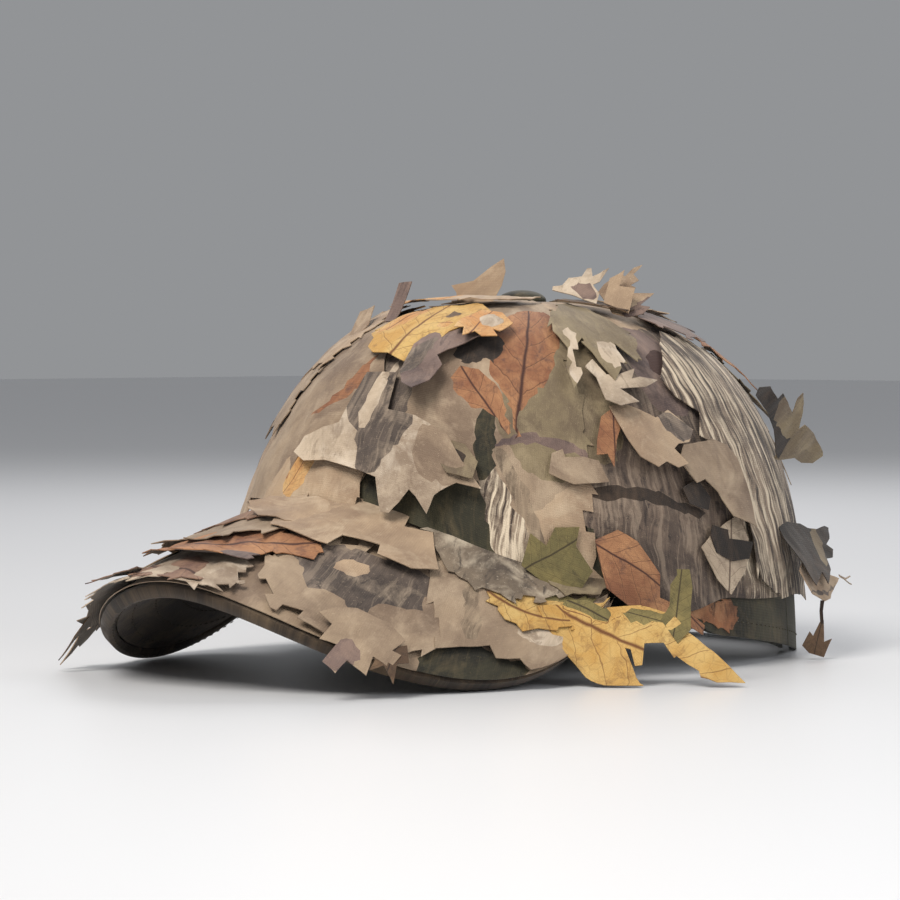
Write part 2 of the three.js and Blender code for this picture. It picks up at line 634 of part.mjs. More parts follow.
// Leaf tips that stand proud of the visor's bound edge, sewn on its cover.
function addVisorTips() {
  const tips = [
    { name: "visor_tip_right", side: -0.42, length: 26, width: 16, lobes: 2, lift: 2 },
    { name: "visor_tip_front", side: -0.12, length: 24, width: 20, lobes: 2, lift: 14 },
    { name: "visor_tip_left", side: 0.42, length: 24, width: 24, lobes: 2, lift: 0 },
  ];
  for (const { name, side, length, width, lobes, lift } of tips) {
    const startOut = 0.82;
    const step = 0.01;
    const here = visorPoint(side, startOut, 0, 0);
    const up = visorPoint(side, startOut + step, 0, 0).sub(here).normalize();
    const out = visorNormal(here.x);
    const around = new THREE.Vector3().crossVectors(up, out).normalize();
    const place = { axes: { here, around, up, out }, turn: 0, lift, stand: LEAF_STAND };
    const size = { length, width, lobes, rows: 6, curl: 0 };
    addLooseLeaf(name, COLOURS.barkLeaf, place, size);
  }
}

// ---- The cap, with its origin under its middle on the table ----

addCrownPanels();
addBuckram();
addSeamTapes();
addSweatband();
addArchBinding();
addButton();
addVisor();
addStrap();
addLeafCovers();
addVisorCover();
addCrownFlaps();
addYellowLeaf();
addTopLeaves();
addRearLeaves();
addVisorTips();

const extent = new THREE.Box3().setFromObject(cap, true);
const middle = extent.getCenter(new THREE.Vector3());
cap.position.set(-middle.x, -middle.y, -extent.min.z);

export default cap;
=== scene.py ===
# A leaf-cut camouflage cap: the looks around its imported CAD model.
# Lengths are in millimetres from the crown's axis until in_frame() turns them into metres in the CAD's frame.
# An azimuth turns from the visor's direction (-Y) towards the wearer's left (+X), in degrees. A level runs
# from 0 at the hem to 1 at the top of the dome. side and out run across the visor and from its seam outward.
import json
import math
import random
import bpy
import numpy as np
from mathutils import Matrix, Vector, noise
from mathutils.geometry import delaunay_2d_cdt


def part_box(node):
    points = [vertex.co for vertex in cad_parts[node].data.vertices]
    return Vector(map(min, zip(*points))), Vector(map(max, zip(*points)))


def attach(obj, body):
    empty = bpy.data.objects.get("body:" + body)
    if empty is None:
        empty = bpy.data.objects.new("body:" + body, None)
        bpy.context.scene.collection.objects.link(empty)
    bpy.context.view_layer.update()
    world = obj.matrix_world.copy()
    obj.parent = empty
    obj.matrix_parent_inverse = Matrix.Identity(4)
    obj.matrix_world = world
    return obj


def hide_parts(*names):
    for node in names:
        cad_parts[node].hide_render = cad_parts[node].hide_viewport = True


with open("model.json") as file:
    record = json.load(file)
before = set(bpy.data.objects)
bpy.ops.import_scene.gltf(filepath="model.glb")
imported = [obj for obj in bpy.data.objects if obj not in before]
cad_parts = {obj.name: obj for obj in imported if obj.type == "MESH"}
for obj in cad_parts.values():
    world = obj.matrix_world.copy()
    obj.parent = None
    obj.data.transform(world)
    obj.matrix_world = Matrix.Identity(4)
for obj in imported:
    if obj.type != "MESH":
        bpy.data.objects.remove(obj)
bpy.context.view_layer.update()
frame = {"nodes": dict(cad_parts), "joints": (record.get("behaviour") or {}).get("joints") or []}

MM = 0.001
DEGREE = math.pi / 180
button_low, button_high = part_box("top_button")
AXIS = Vector(((button_low.x + button_high.x) / 2, (button_low.y + button_high.y) / 2, 0))

# The crown and the visor, as in the CAD model.
HALF_WIDTH = 83.5
FRONT_REACH = 98.0
REAR_REACH = 105.5
CROWN_HEIGHT = 117.0
SIDE_ROUNDNESS = 2.6
FRONT_ROUNDNESS_GAIN = 0.3
FRONT_LEAN = 0.26
SIDE_HEM_HEIGHT = 10
SIDE_HEM_AZIMUTH = 95
REAR_HEM_AZIMUTH = 134
PANEL_SPAN = 60
VISOR_HALF_SPAN = 66.0
VISOR_LENGTH = 60.0
VISOR_HALF_WIDTH = HALF_WIDTH + 1.5
VISOR_ROUNDNESS = 2.3
VISOR_FRONT_HEIGHT = 31.9
VISOR_SLOPE = 0.37
VISOR_SIDE_DROP = 62.0
VISOR_TUCK = 4.0
ARCH_HALF_SPAN = 36.0
ARCH_HEIGHT = 52.0
ARCH_EDGING = 4.0
EDGING_GAP = 0.4
SEWN_GAP = 0.35
SHANK_HOLE_RADIUS = 3.2
BUCKRAM_TOP_RADIUS = 10
TAPE_WIDTH = 11
TAPE_TOP_RADIUS = 19
SWEATBAND_WIDTH = 30
SWEATBAND_SPAN = 132
VISOR_CLOTH_TRIM = 2.75
VISOR_BINDING_TRIM = 2.4
STRAP_LOW_EDGE = 1.5
STRAP_WIDTH = 20
PATCH_MARGIN = 2

# Each layer's outer face, measured from the outer face of the leaf-cut layer, and its thickness.
PANEL_TOP, PANEL_CLOTH = -1.6, 1.0
BUCKRAM_TOP, BUCKRAM = -3.4, 0.6
TAPE_TOP, TAPE_CLOTH = -4.8, 0.7
SWEATBAND_TOP, SWEATBAND = -6.3, 1.2
HOOK_TAB_TOP, STRAP_CLOTH = -3.4, 1.0
HOOK_PATCH_TOP, PATCH_CLOTH = -4.75, 0.7
LOOP_PATCH_TOP = -5.8
LOOP_TAB_TOP = -6.85
VISOR_TOP_CLOTH_TOP, VISOR_CLOTH = -1.15, 0.7
VISOR_UNDER_CLOTH_TOP = -4.55
VISOR_UNDERSIDE = -5.25

# Leaf-cut cloth.
LEAF_CLOTH = 0.3
LOWEST_LIFT = -1.42
BELOW_HEM = 150
STRIP_WIDTH = 0.15
STRIP_USED = 0.66


# ---- Camera ----

def direction(azimuth, elevation):
    turn, rise = azimuth * DEGREE, elevation * DEGREE
    return Vector((math.sin(turn) * math.cos(rise), -math.cos(turn) * math.cos(rise), math.sin(rise)))


def look(azimuth, elevation, distance, aim_right, aim_up, lens):
    """A camera that looks at the crown from an azimuth, aimed a little to the side of its axis."""
    back = direction(azimuth, elevation)
    right = Vector((math.cos(azimuth * DEGREE), math.sin(azimuth * DEGREE), 0))
    target = AXIS + Vector((0, 0, 58 * MM))
    data = bpy.data.cameras.new("camera")
    data.lens = lens
    data.sensor_width = 36
    data.clip_start = 0.05
    camera = bpy.data.objects.new("camera", data)
    camera.location = target + back * distance
    aim = target + right * aim_right * MM + back.cross(right) * aim_up * MM
    camera.rotation_mode = "QUATERNION"
    camera.rotation_quaternion = (aim - camera.location).to_track_quat("-Z", "Y")
    bpy.context.scene.collection.objects.link(camera)
    bpy.context.scene.camera = camera


look(azimuth=42, elevation=2.4, distance=1.1, aim_right=-23.8, aim_up=9.3, lens=132.9)


# ---- The dome and the visor as surfaces ----

def visor_height(x, y):
    along_middle = VISOR_FRONT_HEIGHT + VISOR_SLOPE * (y + FRONT_REACH + VISOR_LENGTH)
    return along_middle - VISOR_SIDE_DROP * (x / VISOR_HALF_WIDTH) ** 2


def visor_normal(x):
    slope = -2 * VISOR_SIDE_DROP * x / VISOR_HALF_WIDTH**2
    normal = np.stack([-slope, np.full_like(slope, -VISOR_SLOPE), np.ones_like(slope)], -1)
    return normal / np.linalg.norm(normal, axis=-1, keepdims=True)


def folded(azimuth):
    """Degrees away from the front, on either side."""
    return np.abs((np.asarray(azimuth, float) + 180) % 360 - 180)


def smoothstep(value):
    value = np.clip(value, 0, 1)
    return value * value * (3 - 2 * value)


def hem_height(azimuth, inset):
    away = folded(azimuth)
    on_visor = np.minimum(away, VISOR_HALF_SPAN) * DEGREE
    x = (HALF_WIDTH + inset) * np.sin(on_visor)
    y = -(FRONT_REACH + inset) * np.cos(on_visor)
    top = visor_height(x, y) + SEWN_GAP / visor_normal(x)[..., 2]
    fall = smoothstep((away - VISOR_HALF_SPAN) / (SIDE_HEM_AZIMUTH - VISOR_HALF_SPAN))
    past_side = np.clip((away - SIDE_HEM_AZIMUTH) / (REAR_HEM_AZIMUTH - SIDE_HEM_AZIMUTH), 0, 1)
    low = SIDE_HEM_HEIGHT * (1 - past_side)
    return top * (1 - fall) + low * fall


def frontness(azimuth):
    """1 at the front, 0 at the back."""
    return (1 + np.cos(np.asarray(azimuth) * DEGREE)) / 2


def roundness(front):
    return SIDE_ROUNDNESS + FRONT_ROUNDNESS_GAIN * front


def crown(azimuth, level, inset=0.0):
    """Points of the dome; below the hem it runs straight down."""
    azimuth, level = np.broadcast_arrays(np.asarray(azimuth, float), np.asarray(level, float))
    turn = azimuth * DEGREE
    front = frontness(azimuth)
    power = 2 / roundness(front)
    tilt = np.clip(level, 0, 1) * math.pi / 2
    rise = np.sin(tilt) ** power
    spread = np.maximum(np.cos(tilt), 0) ** power * (1 - FRONT_LEAN * rise * front)
    reach = np.where(np.cos(turn) > 0, FRONT_REACH, REAR_REACH)
    hem = hem_height(azimuth, inset)
    below = np.minimum(level, 0) * BELOW_HEM
    x = (HALF_WIDTH + inset) * np.sin(turn) * spread
    y = -(reach + inset) * np.cos(turn) * spread
    return np.stack([x, y, hem + (CROWN_HEIGHT + inset - hem) * rise + below], -1)


def visor(side, out, depth=0.0, trim=0.0):
    """Points of the visor, at a depth along its normal and with its outer edge trimmed."""
    side, out = np.broadcast_arrays(np.asarray(side, float), np.asarray(out, float))
    turn = side * VISOR_HALF_SPAN * DEGREE
    inner_x = (HALF_WIDTH - VISOR_TUCK) * np.sin(turn)
    inner_y = -(FRONT_REACH - VISOR_TUCK) * np.cos(turn)
    back_y = -FRONT_REACH * math.cos(VISOR_HALF_SPAN * DEGREE)
    length = FRONT_REACH + VISOR_LENGTH + back_y - trim
    power = 2 / VISOR_ROUNDNESS
    end_width = HALF_WIDTH * math.sin(VISOR_HALF_SPAN * DEGREE)
    narrowing = 1 - (1 - end_width / VISOR_HALF_WIDTH) * np.abs(side) ** 8
    bow = np.sin(side * math.pi / 2)
    outer_x = (VISOR_HALF_WIDTH * narrowing - trim) * np.sign(bow) * np.abs(bow) ** power
    outer_y = back_y - length * np.maximum(np.cos(side * math.pi / 2), 0) ** power
    x = inner_x + (outer_x - inner_x) * out
    y = inner_y + (outer_y - inner_y) * out
    point = np.stack([x, y, visor_height(x, y)], -1)
    return point + visor_normal(x) * np.asarray(depth)[..., None]


def level_at_height(azimuth, height):
    """The dome's level at a height in millimetres above its hem."""
    share = np.clip(height / (CROWN_HEIGHT - hem_height(azimuth, 0)), 0, 1)
    return 2 / math.pi * np.arcsin(share ** (roundness(frontness(azimuth)) / 2))


def level_at_radius(azimuth, radius):
    """The dome's level at a distance in millimetres from its axis, near the top."""
    front = frontness(azimuth)
    share = radius / (HALF_WIDTH * (1 - FRONT_LEAN * front))
    return 2 / math.pi * np.arccos(share ** (roundness(front) / 2))


def arch_height(azimuth, extra):
    """The height of the rear opening's edge, or of a line that runs an extra distance outside it."""
    half_span = ARCH_HALF_SPAN + extra / REAR_REACH / DEGREE
    share = 1 - ((180 - folded(azimuth)) / half_span) ** 2
    return (ARCH_HEIGHT + extra) * np.sqrt(np.maximum(share, 0))


class Dome:
    """The dome with flat coordinates in millimetres about a centre, for laying out cloth on it."""

    LEVELS = np.linspace(0, 0.995, 160)

    def __init__(self, centre):
        self.azimuth, self.level = centre
        meridian = crown(self.azimuth, self.LEVELS)
        steps = np.linalg.norm(np.diff(meridian, axis=0), axis=1)
        self.arcs = np.concatenate([[0], np.cumsum(steps)])
        here = crown(self.azimuth, max(self.level, 0))
        self.radius = max(math.hypot(here[0], here[1]), 12)
        self.middle = self._arc(np.array(self.level))

    def _arc(self, level):
        above = np.interp(level, self.LEVELS, self.arcs)
        return np.where(level < 0, level * BELOW_HEM, above)

    def flat(self, points):
        points = np.asarray(points, float)
        x = (points[:, 0] - self.azimuth) * DEGREE * self.radius
        return np.stack([x, self._arc(points[:, 1]) - self.middle], -1)

    def _spots(self, flat):
        azimuth = self.azimuth + flat[:, 0] / self.radius / DEGREE
        arc = flat[:, 1] + self.middle
        level = np.where(arc < 0, arc / BELOW_HEM, np.interp(arc, self.arcs, self.LEVELS))
        return azimuth, level, arc

    def lay(self, flat, lift):
        azimuth, level, _ = self._spots(flat)
        nudge = 1e-3
        here = crown(azimuth, level)
        around = crown(azimuth + 0.05, level) - crown(azimuth - 0.05, level)
        upper = crown(azimuth, np.clip(level + nudge, nudge, 0.999))
        up = upper - crown(azimuth, np.clip(level - nudge, 0, 0.998))
        normal = np.cross(around, up)
        normal /= np.linalg.norm(normal, axis=1, keepdims=True)
        return here + normal * lift[:, None]

    def print_uv(self, flat):
        azimuth, _, arc = self._spots(flat)
        return np.stack([azimuth * DEGREE * 90, arc], -1)


class Brim:
    """The visor's top, laid out the same way."""

    def __init__(self, centre):
        self.side, self.out = centre
        here = visor(self.side, self.out)
        self.across = np.linalg.norm(visor(self.side + 0.02, self.out) - here) / 0.02
        self.along = np.linalg.norm(visor(self.side, self.out + 0.05) - here) / 0.05

    def flat(self, points):
        points = np.asarray(points, float)
        x = (points[:, 0] - self.side) * self.across
        return np.stack([x, (self.out - points[:, 1]) * self.along], -1)

    def lay(self, flat, lift):
        side = self.side + flat[:, 0] / self.across
        out = self.out - flat[:, 1] / self.along
        return visor(side, out, lift)

    def print_uv(self, flat):
        return np.stack([flat[:, 0] + self.side * 90, flat[:, 1] - self.out * 60], -1)


class Plane:
    """A flat or evenly curved free leaf: a root, its two directions and a bend along its length."""

    def __init__(self, root, across, along, bend=0.0, lowest=None):
        self.root = np.array(root, float)
        self.across = np.array(across, float) / np.linalg.norm(across)
        self.along = np.array(along, float) / np.linalg.norm(along)
        self.normal = np.cross(self.across, self.along)
        self.bend = bend
        self.lowest = lowest

    def flat(self, points):
        return np.asarray(points, float)

    def lay(self, flat, lift):
        height = lift + self.bend * flat[:, 1] ** 2 / 1000
        points = self.root + flat[:, :1] * self.across + flat[:, 1:] * self.along
        points += height[:, None] * self.normal
        if self.lowest:
            points[:, 2] = np.maximum(points[:, 2], self.lowest(points))
        return points

    def print_uv(self, flat):
        return flat.copy()


# ---- Materials ----

def srgb(red, green, blue):
    channels = [c / 255 for c in (red, green, blue)]
    linear = [c / 12.92 if c <= 0.04045 else ((c + 0.055) / 1.055) ** 2.4 for c in channels]
    return (*linear, 1.0)


class Paint:
    """Builds a cloth material from small steps; each step returns a socket."""

    def __init__(self, name, roughness=0.75, sheen=0.15, bump=0.25):
        self.material = bpy.data.materials.new(name)
        self.material.use_nodes = True
        self.tree = self.material.node_tree
        self.shader = self.tree.nodes["Principled BSDF"]
        self.shader.inputs["Roughness"].default_value = roughness
        self.shader.inputs["Sheen Weight"].default_value = sheen
        self.shader.inputs["Sheen Roughness"].default_value = 0.5
        self.shader.inputs["Specular IOR Level"].default_value = 0.3
        self.bump_strength = bump

    def node(self, kind, settings=(), **values):
        """A node with its inputs set or linked, each by name, or by number as i0, i1 and so on."""
        node = self.tree.nodes.new(kind)
        for key, value in dict(settings).items():
            setattr(node, key, value)
        for key, value in values.items():
            socket = node.inputs[int(key[1:])] if key[0] == "i" and key[1:].isdigit() else node.inputs[key]
            if isinstance(value, bpy.types.NodeSocket):
                self.tree.links.new(value, socket)
            else:
                socket.default_value = value
        return node

    def uv(self, name="print"):
        return self.node("ShaderNodeUVMap", {"uv_map": name}).outputs[0]

    def scaled(self, vector, scale, turn=0.0):
        return self.node("ShaderNodeMapping", Vector=vector, Scale=scale, Rotation=(0, 0, turn)).outputs[0]

    def noise(self, vector, scale, detail=3.0, roughness=0.55, distortion=0.0):
        return self.node(
            "ShaderNodeTexNoise",
            Vector=vector, Scale=scale, Detail=detail, Roughness=roughness, Distortion=distortion,
        ).outputs[0]

    def math(self, operation, first, second=0.0):
        return self.node("ShaderNodeMath", {"operation": operation}, i0=first, i1=second).outputs[0]

    def product(self, first, second):
        return self.math("MULTIPLY", first, second)

    def window(self, value, low, high):
        """0 at the low value, 1 at the high one."""
        return self.node("ShaderNodeMapRange", {"clamp": True}, i0=value, i1=low, i2=high).outputs[0]

    def mix(self, amount, first, second):
        node = self.node("ShaderNodeMix", {"data_type": "RGBA"})
        for index, value in ((0, amount), (6, first), (7, second)):
            if isinstance(value, bpy.types.NodeSocket):
                self.tree.links.new(value, node.inputs[index])
            else:
                node.inputs[index].default_value = value
        return node.outputs[2]

    def split(self, vector):
        return self.node("ShaderNodeSeparateXYZ", i0=vector).outputs

    def weave(self, vector, pitch=0.0007):
        """The fine over-and-under of the cloth's threads."""
        waves = []
        for turn in (0, math.pi / 2):
            rotated = self.scaled(vector, (1, 1, 1), turn)
            wave = self.node("ShaderNodeTexWave", {"wave_type": "BANDS"}, Vector=rotated, Scale=0.314 / pitch)
            waves.append(wave.outputs[1])
        return self.product(*waves)

    def cells(self, vector, scale):
        """How far each place is from the border of its cell."""
        return self.node(
            "ShaderNodeTexVoronoi", {"feature": "DISTANCE_TO_EDGE"}, Vector=vector, Scale=scale
        ).outputs[0]

    def finish(self, colour, relief, distance=0.0004):
        self.tree.links.new(colour, self.shader.inputs["Base Color"])
        bump = self.node("ShaderNodeBump", Strength=self.bump_strength, Distance=distance, Height=relief)
        self.tree.links.new(bump.outputs[0], self.shader.inputs["Normal"])
        return self.material


def printed_cloth(name, ground, shade, light, streak=0.0, speckle=0.3, twigs=0.15):
    """Camouflage print: clouded ground colour, smudges, bark streaks, lichen specks and fine twigs."""
    ground, shade, light = srgb(*ground), srgb(*shade), srgb(*light)
    paint = Paint(name)
    where = paint.uv()
    clouds = paint.window(paint.noise(where, 28, 6, 0.66, 0.4), 0.42, 0.62)
    colour = paint.mix(paint.product(clouds, 0.85), ground, shade)
    lit = paint.window(paint.noise(where, 65, 5, 0.66, 0.5), 0.5, 0.68)
    colour = paint.mix(paint.product(lit, 0.6), colour, light)
    smudge = paint.window(paint.noise(paint.scaled(where, (1, 0.5, 1), 0.3), 190, 5, 0.7, 1.0), 0.55, 0.66)
    colour = paint.mix(paint.product(smudge, speckle), colour, shade)
    if streak:
        sway = paint.node("ShaderNodeTexNoise", Vector=where, Scale=40.0, Detail=2.0).outputs[1]
        wavy = paint.node(
            "ShaderNodeVectorMath", {"operation": "MULTIPLY_ADD"}, i0=sway, i1=(0.012, 0.0, 0.0), i2=where
        ).outputs[0]
        bands = paint.noise(paint.scaled(wavy, (1, 0.075, 1)), 420, 6, 0.66, 0.5)
        dark = paint.window(bands, 0.52, 0.57)
        pale = paint.window(bands, 0.475, 0.42)
        colour = paint.mix(paint.product(pale, streak), colour, light)
        colour = paint.mix(paint.product(dark, streak), colour, shade)
    if twigs:
        line = paint.window(paint.cells(paint.scaled(where, (1, 0.4, 1), 0.6), 75.0), 0.045, 0.01)
        patchy = paint.window(paint.noise(where, 34, 2), 0.5, 0.6)
        colour = paint.mix(paint.product(paint.product(line, patchy), twigs), colour, shade)
    specks = paint.window(paint.noise(where, 900, 2, 0.8), 0.62, 0.7)
    colour = paint.mix(paint.product(specks, 0.35), colour, light)
    return paint.finish(colour, paint.math("ADD", paint.weave(where), paint.noise(where, 900, 2)))


def leaf_print(name, blade, edge, vein, blotch, veins=6.0):
    """A printed leaf: blotched blade, and thin dark veins with a lit edge that slant off a midrib."""
    blade, edge, vein, blotch = srgb(*blade), srgb(*edge), srgb(*vein), srgb(*blotch)
    paint = Paint(name, sheen=0.1)
    where = paint.uv()
    along, across, _ = paint.split(paint.uv("leaf"))
    wander = paint.math("SUBTRACT", paint.noise(where, 60, 3), 0.5)
    away = paint.math("ABSOLUTE", paint.math("ADD", across, paint.product(wander, 0.05)))
    clouds = paint.window(paint.noise(where, 50, 5, 0.65, 0.8), 0.4, 0.64)
    colour = paint.mix(clouds, blade, edge)
    smudges = paint.window(paint.noise(where, 150, 5, 0.7, 0.6), 0.54, 0.68)
    colour = paint.mix(paint.product(smudges, 0.75), colour, blotch)

    bowed = paint.product(paint.math("POWER", away, 0.85), 0.7)
    slanted = paint.math("SUBTRACT", paint.math("SUBTRACT", along, bowed), paint.product(wander, 0.16))

    def off_middle(ripples):
        return paint.math("ABSOLUTE", paint.math("SUBTRACT", paint.math("FRACT", ripples), 0.5))

    ripples = paint.product(slanted, veins)
    lit = paint.window(off_middle(paint.math("ADD", ripples, 0.05)), 0.07, 0.0)
    colour = paint.mix(paint.product(lit, 0.3), colour, edge)
    side_vein = paint.product(paint.window(off_middle(ripples), 0.032, 0.006), 0.7)
    midrib = paint.window(away, 0.016, 0.004)
    colour = paint.mix(paint.math("MAXIMUM", side_vein, midrib), colour, vein)
    net = paint.window(paint.cells(where, 260.0), 0.06, 0.0)
    colour = paint.mix(paint.product(net, 0.22), colour, vein)
    return paint.finish(colour, paint.math("ADD", paint.weave(where), paint.noise(where, 900, 2)))


def plain_cloth(name, colour, dark, pitch=0.0007, roughness=0.85):
    """Dyed cloth or tape with a visible weave and worn, clouded colour."""
    colour, dark = srgb(*colour), srgb(*dark)
    paint = Paint(name, roughness=roughness, bump=0.4)
    where = paint.uv()
    clouds = paint.window(paint.noise(where, 90, 4), 0.35, 0.7)
    weave = paint.weave(where, pitch)
    shade = paint.mix(clouds, colour, dark)
    return paint.finish(paint.mix(paint.product(weave, 0.25), shade, dark), weave)


def hard_surface(name, colour, dark, roughness, metallic=0.0):
    """Moulded plastic or plain metal with faint wear."""
    paint = Paint(name, roughness=roughness, sheen=0.0, bump=0.15)
    paint.shader.inputs["Metallic"].default_value = metallic
    where = paint.node("ShaderNodeTexCoord").outputs["Object"]
    clouds = paint.window(paint.noise(where, 60, 3), 0.35, 0.7)
    return paint.finish(paint.mix(clouds, srgb(*colour), srgb(*dark)), paint.noise(where, 800, 3))


# Printed cloth has its ground, shade and light colours, then its streaks, speckles and twigs. A leaf has its
# blade, edge, vein and blotch colours. Other cloth has its colour, its dark and the pitch of its weave.
LOOKS = {
    "taupe": printed_cloth("taupe_print", (160, 138, 114), (112, 92, 76), (188, 166, 140), 0.0, 0.25),
    "tan": printed_cloth("tan_print", (178, 152, 124), (134, 110, 90), (204, 182, 154), 0.0, 0.2, 0.1),
    "pale": printed_cloth("pale_print", (196, 176, 152), (124, 104, 86), (218, 202, 182), 0.0, 0.6, 0.3),
    "bark": printed_cloth("bark_print", (152, 132, 112), (62, 50, 43), (220, 202, 176), 0.95, 0.4, 0.5),
    "mottle": printed_cloth("mottle_print", (116, 98, 84), (56, 46, 42), (164, 144, 124), 0.45, 0.9, 0.6),
    "trunk": printed_cloth("trunk_print", (104, 90, 80), (60, 51, 46), (176, 156, 134), 0.22, 0.9, 0.6),
    "mauve": printed_cloth("mauve_print", (122, 101, 92), (76, 62, 60), (160, 134, 118), 0.0, 0.7, 0.5),
    "olive": printed_cloth("olive_print", (136, 120, 92), (98, 82, 66), (168, 150, 118), 0.0, 0.45, 0.4),
    # The dark print also stands for painted shade where its patches lie on the ground cloth below lifted flaps.
    "dark": printed_cloth("dark_print_and_painted_shade", (52, 42, 35), (26, 21, 18), (92, 73, 57), 0.2, 0.5, 0.2),
    "lichen": printed_cloth("lichen_print", (128, 112, 94), (74, 64, 56), (212, 196, 172), 0.0, 1.0, 0.5),
    "brush": printed_cloth("brush_print", (146, 126, 104), (78, 64, 53), (190, 168, 140), 0.2, 0.6, 0.9),
    "rust": leaf_print("rust_leaf_print", (134, 88, 62), (174, 126, 88), (70, 42, 34), (94, 68, 60)),
    "russet": leaf_print("russet_leaf_print", (116, 86, 72), (152, 120, 98), (70, 48, 42), (86, 66, 60)),
    "yellow": leaf_print("yellow_leaf_print", (192, 148, 80), (206, 172, 108), (112, 72, 40), (140, 104, 62)),
    "amber": leaf_print("amber_leaf_print", (192, 136, 78), (210, 172, 118), (104, 60, 40), (140, 86, 56)),
    "moss": leaf_print("moss_leaf_print", (106, 96, 60), (142, 126, 78), (62, 52, 34), (74, 66, 44)),
    "grey": leaf_print("grey_leaf_print", (172, 152, 130), (196, 176, 152), (102, 84, 70), (128, 110, 94)),
    "umber": leaf_print("umber_leaf_print", (84, 64, 48), (112, 88, 66), (44, 32, 26), (50, 38, 30)),
    "back": plain_cloth("leaf_cloth_back", (120, 108, 94), (84, 74, 64)),
    "base": printed_cloth("base_cloth", (66, 62, 44), (24, 22, 16), (104, 90, 64), 0.15, 0.7, 0.5),
    "base_orange": printed_cloth("base_orange_print", (158, 104, 68), (52, 34, 26), (196, 150, 110),
                                 speckle=0.9),
    "base_brown": printed_cloth("base_brown_print", (72, 58, 44), (30, 24, 19), (120, 100, 76), 0.1, 0.8),
    "binding": plain_cloth("binding_tape", (38, 36, 30), (22, 21, 18), 0.0011),
    "sweatband": plain_cloth("sweatband_cloth", (70, 70, 54), (44, 44, 34), 0.0009),
    "buckram": plain_cloth("buckram_mesh", (196, 190, 176), (140, 134, 122), 0.0016),
    "closure": plain_cloth("closure_pile", (24, 24, 20), (10, 10, 9), 0.0016, 0.95),
    "thread": plain_cloth("stitch_thread", (96, 88, 70), (60, 54, 44), 0.0004),
    "board": hard_surface("board_plastic", (34, 34, 32), (24, 24, 22), 0.5),
    "metal": hard_surface("button_metal", (150, 148, 142), (110, 108, 104), 0.35, 1.0),
}


# ---- Meshes ----

def in_frame(points):
    return [(x * MM + AXIS.x, y * MM + AXIS.y, z * MM) for x, y, z in points]


def add_object(name, points, faces, slots, face_slots, uvs, body, replaced, slot, sharp=50):
    mesh = bpy.data.meshes.new(name)
    mesh.from_pydata(in_frame(points), [], [list(map(int, face)) for face in faces])
    for look_name in slots:
        mesh.materials.append(LOOKS[look_name])
    mesh.polygons.foreach_set("material_index", np.asarray(face_slots, np.int32))
    for uv_name, per_point in uvs.items():
        layer = mesh.uv_layers.new(name=uv_name)
        corners = np.empty(len(mesh.loops), np.int32)
        mesh.loops.foreach_get("vertex_index", corners)
        layer.data.foreach_set("uv", np.asarray(per_point, np.float32)[corners].ravel())
    mesh.polygons.foreach_set("use_smooth", np.ones(len(mesh.polygons), bool))
    mesh.set_sharp_from_angle(angle=sharp * DEGREE)
    mesh.validate()
    made = bpy.data.objects.new(name, mesh)
    bpy.context.scene.collection.objects.link(made)
    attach(made, body)
    if replaced:
        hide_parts(*replaced)
    return made


def vertex_normals(points, faces):
    normals = np.zeros_like(points)
    a, b, c = (points[faces[:, i]] for i in range(3))
    face_normal = np.cross(b - a, c - a)
    for i in range(3):
        np.add.at(normals, faces[:, i], face_normal)
    return normals / np.maximum(np.linalg.norm(normals, axis=1, keepdims=True), 1e-12)


def closing_faces(faces, count):
    """What closes a sheet of triangles over a second layer of its points: the underside and the rim."""
    edges = {(int(f[i]), int(f[(i + 1) % 3])) for f in faces for i in range(3)}
    under = [tuple(int(i) + count for i in face[::-1]) for face in faces]
    rim = [(a, a + count, b + count, b) for a, b in sorted(edges) if (b, a) not in edges]
    return under, rim


class Cloth:
    """Gathers pieces of leaf-cut cloth that ride together, and makes one object of them."""

    def __init__(self, name, slots):
        self.name = name
        self.slots = slots
        self.points, self.faces, self.face_slots = [], [], []
        self.print_uv, self.leaf_uv = [], []
        self.cut_area = 0

    def add(self, points, faces, face_slots, print_uv, leaf_uv):
        """Adds an open sheet of triangles as thick cloth; its rim takes the print of the face beside it."""
        normal = vertex_normals(points, faces) * LEAF_CLOTH / 2
        under, rim = closing_faces(faces, len(points))
        corners = points[faces]
        doubled = np.cross(corners[:, 1] - corners[:, 0], corners[:, 2] - corners[:, 0])
        self.cut_area += np.linalg.norm(doubled, axis=1).sum() / 2
        start = sum(len(p) for p in self.points)
        top = [tuple(map(int, face)) for face in faces]
        self.points.append(np.concatenate([points + normal, points - normal]))
        self.faces += [tuple(i + start for i in face) for face in top + under + rim]
        beside = {frozenset((face[i], face[(i + 1) % 3])): face_slot
                  for face, face_slot in zip(top, face_slots) for i in range(3)}
        self.face_slots += list(face_slots) + [self.slots.index("back")] * len(under)
        self.face_slots += [beside[frozenset((face[0], face[3]))] for face in rim]
        self.print_uv.append(np.concatenate([print_uv, print_uv]))
        self.leaf_uv.append(np.concatenate([leaf_uv, leaf_uv]))

    def build(self, body, replaced, slot, flat=None):
        """flat, the size in metres of the cloth that it is cut from (by itself, a strip with waste), is not
        used.
        """
        uvs = {"print": np.concatenate(self.print_uv) * MM, "leaf": np.concatenate(self.leaf_uv)}
        points = np.concatenate(self.points)
        made = add_object(self.name, points, self.faces, self.slots, self.face_slots, uvs, body, replaced,
                          slot, 40)
        area = self.cut_area * MM * MM
        strip = (STRIP_WIDTH, area / STRIP_WIDTH / STRIP_USED)
        flat or strip


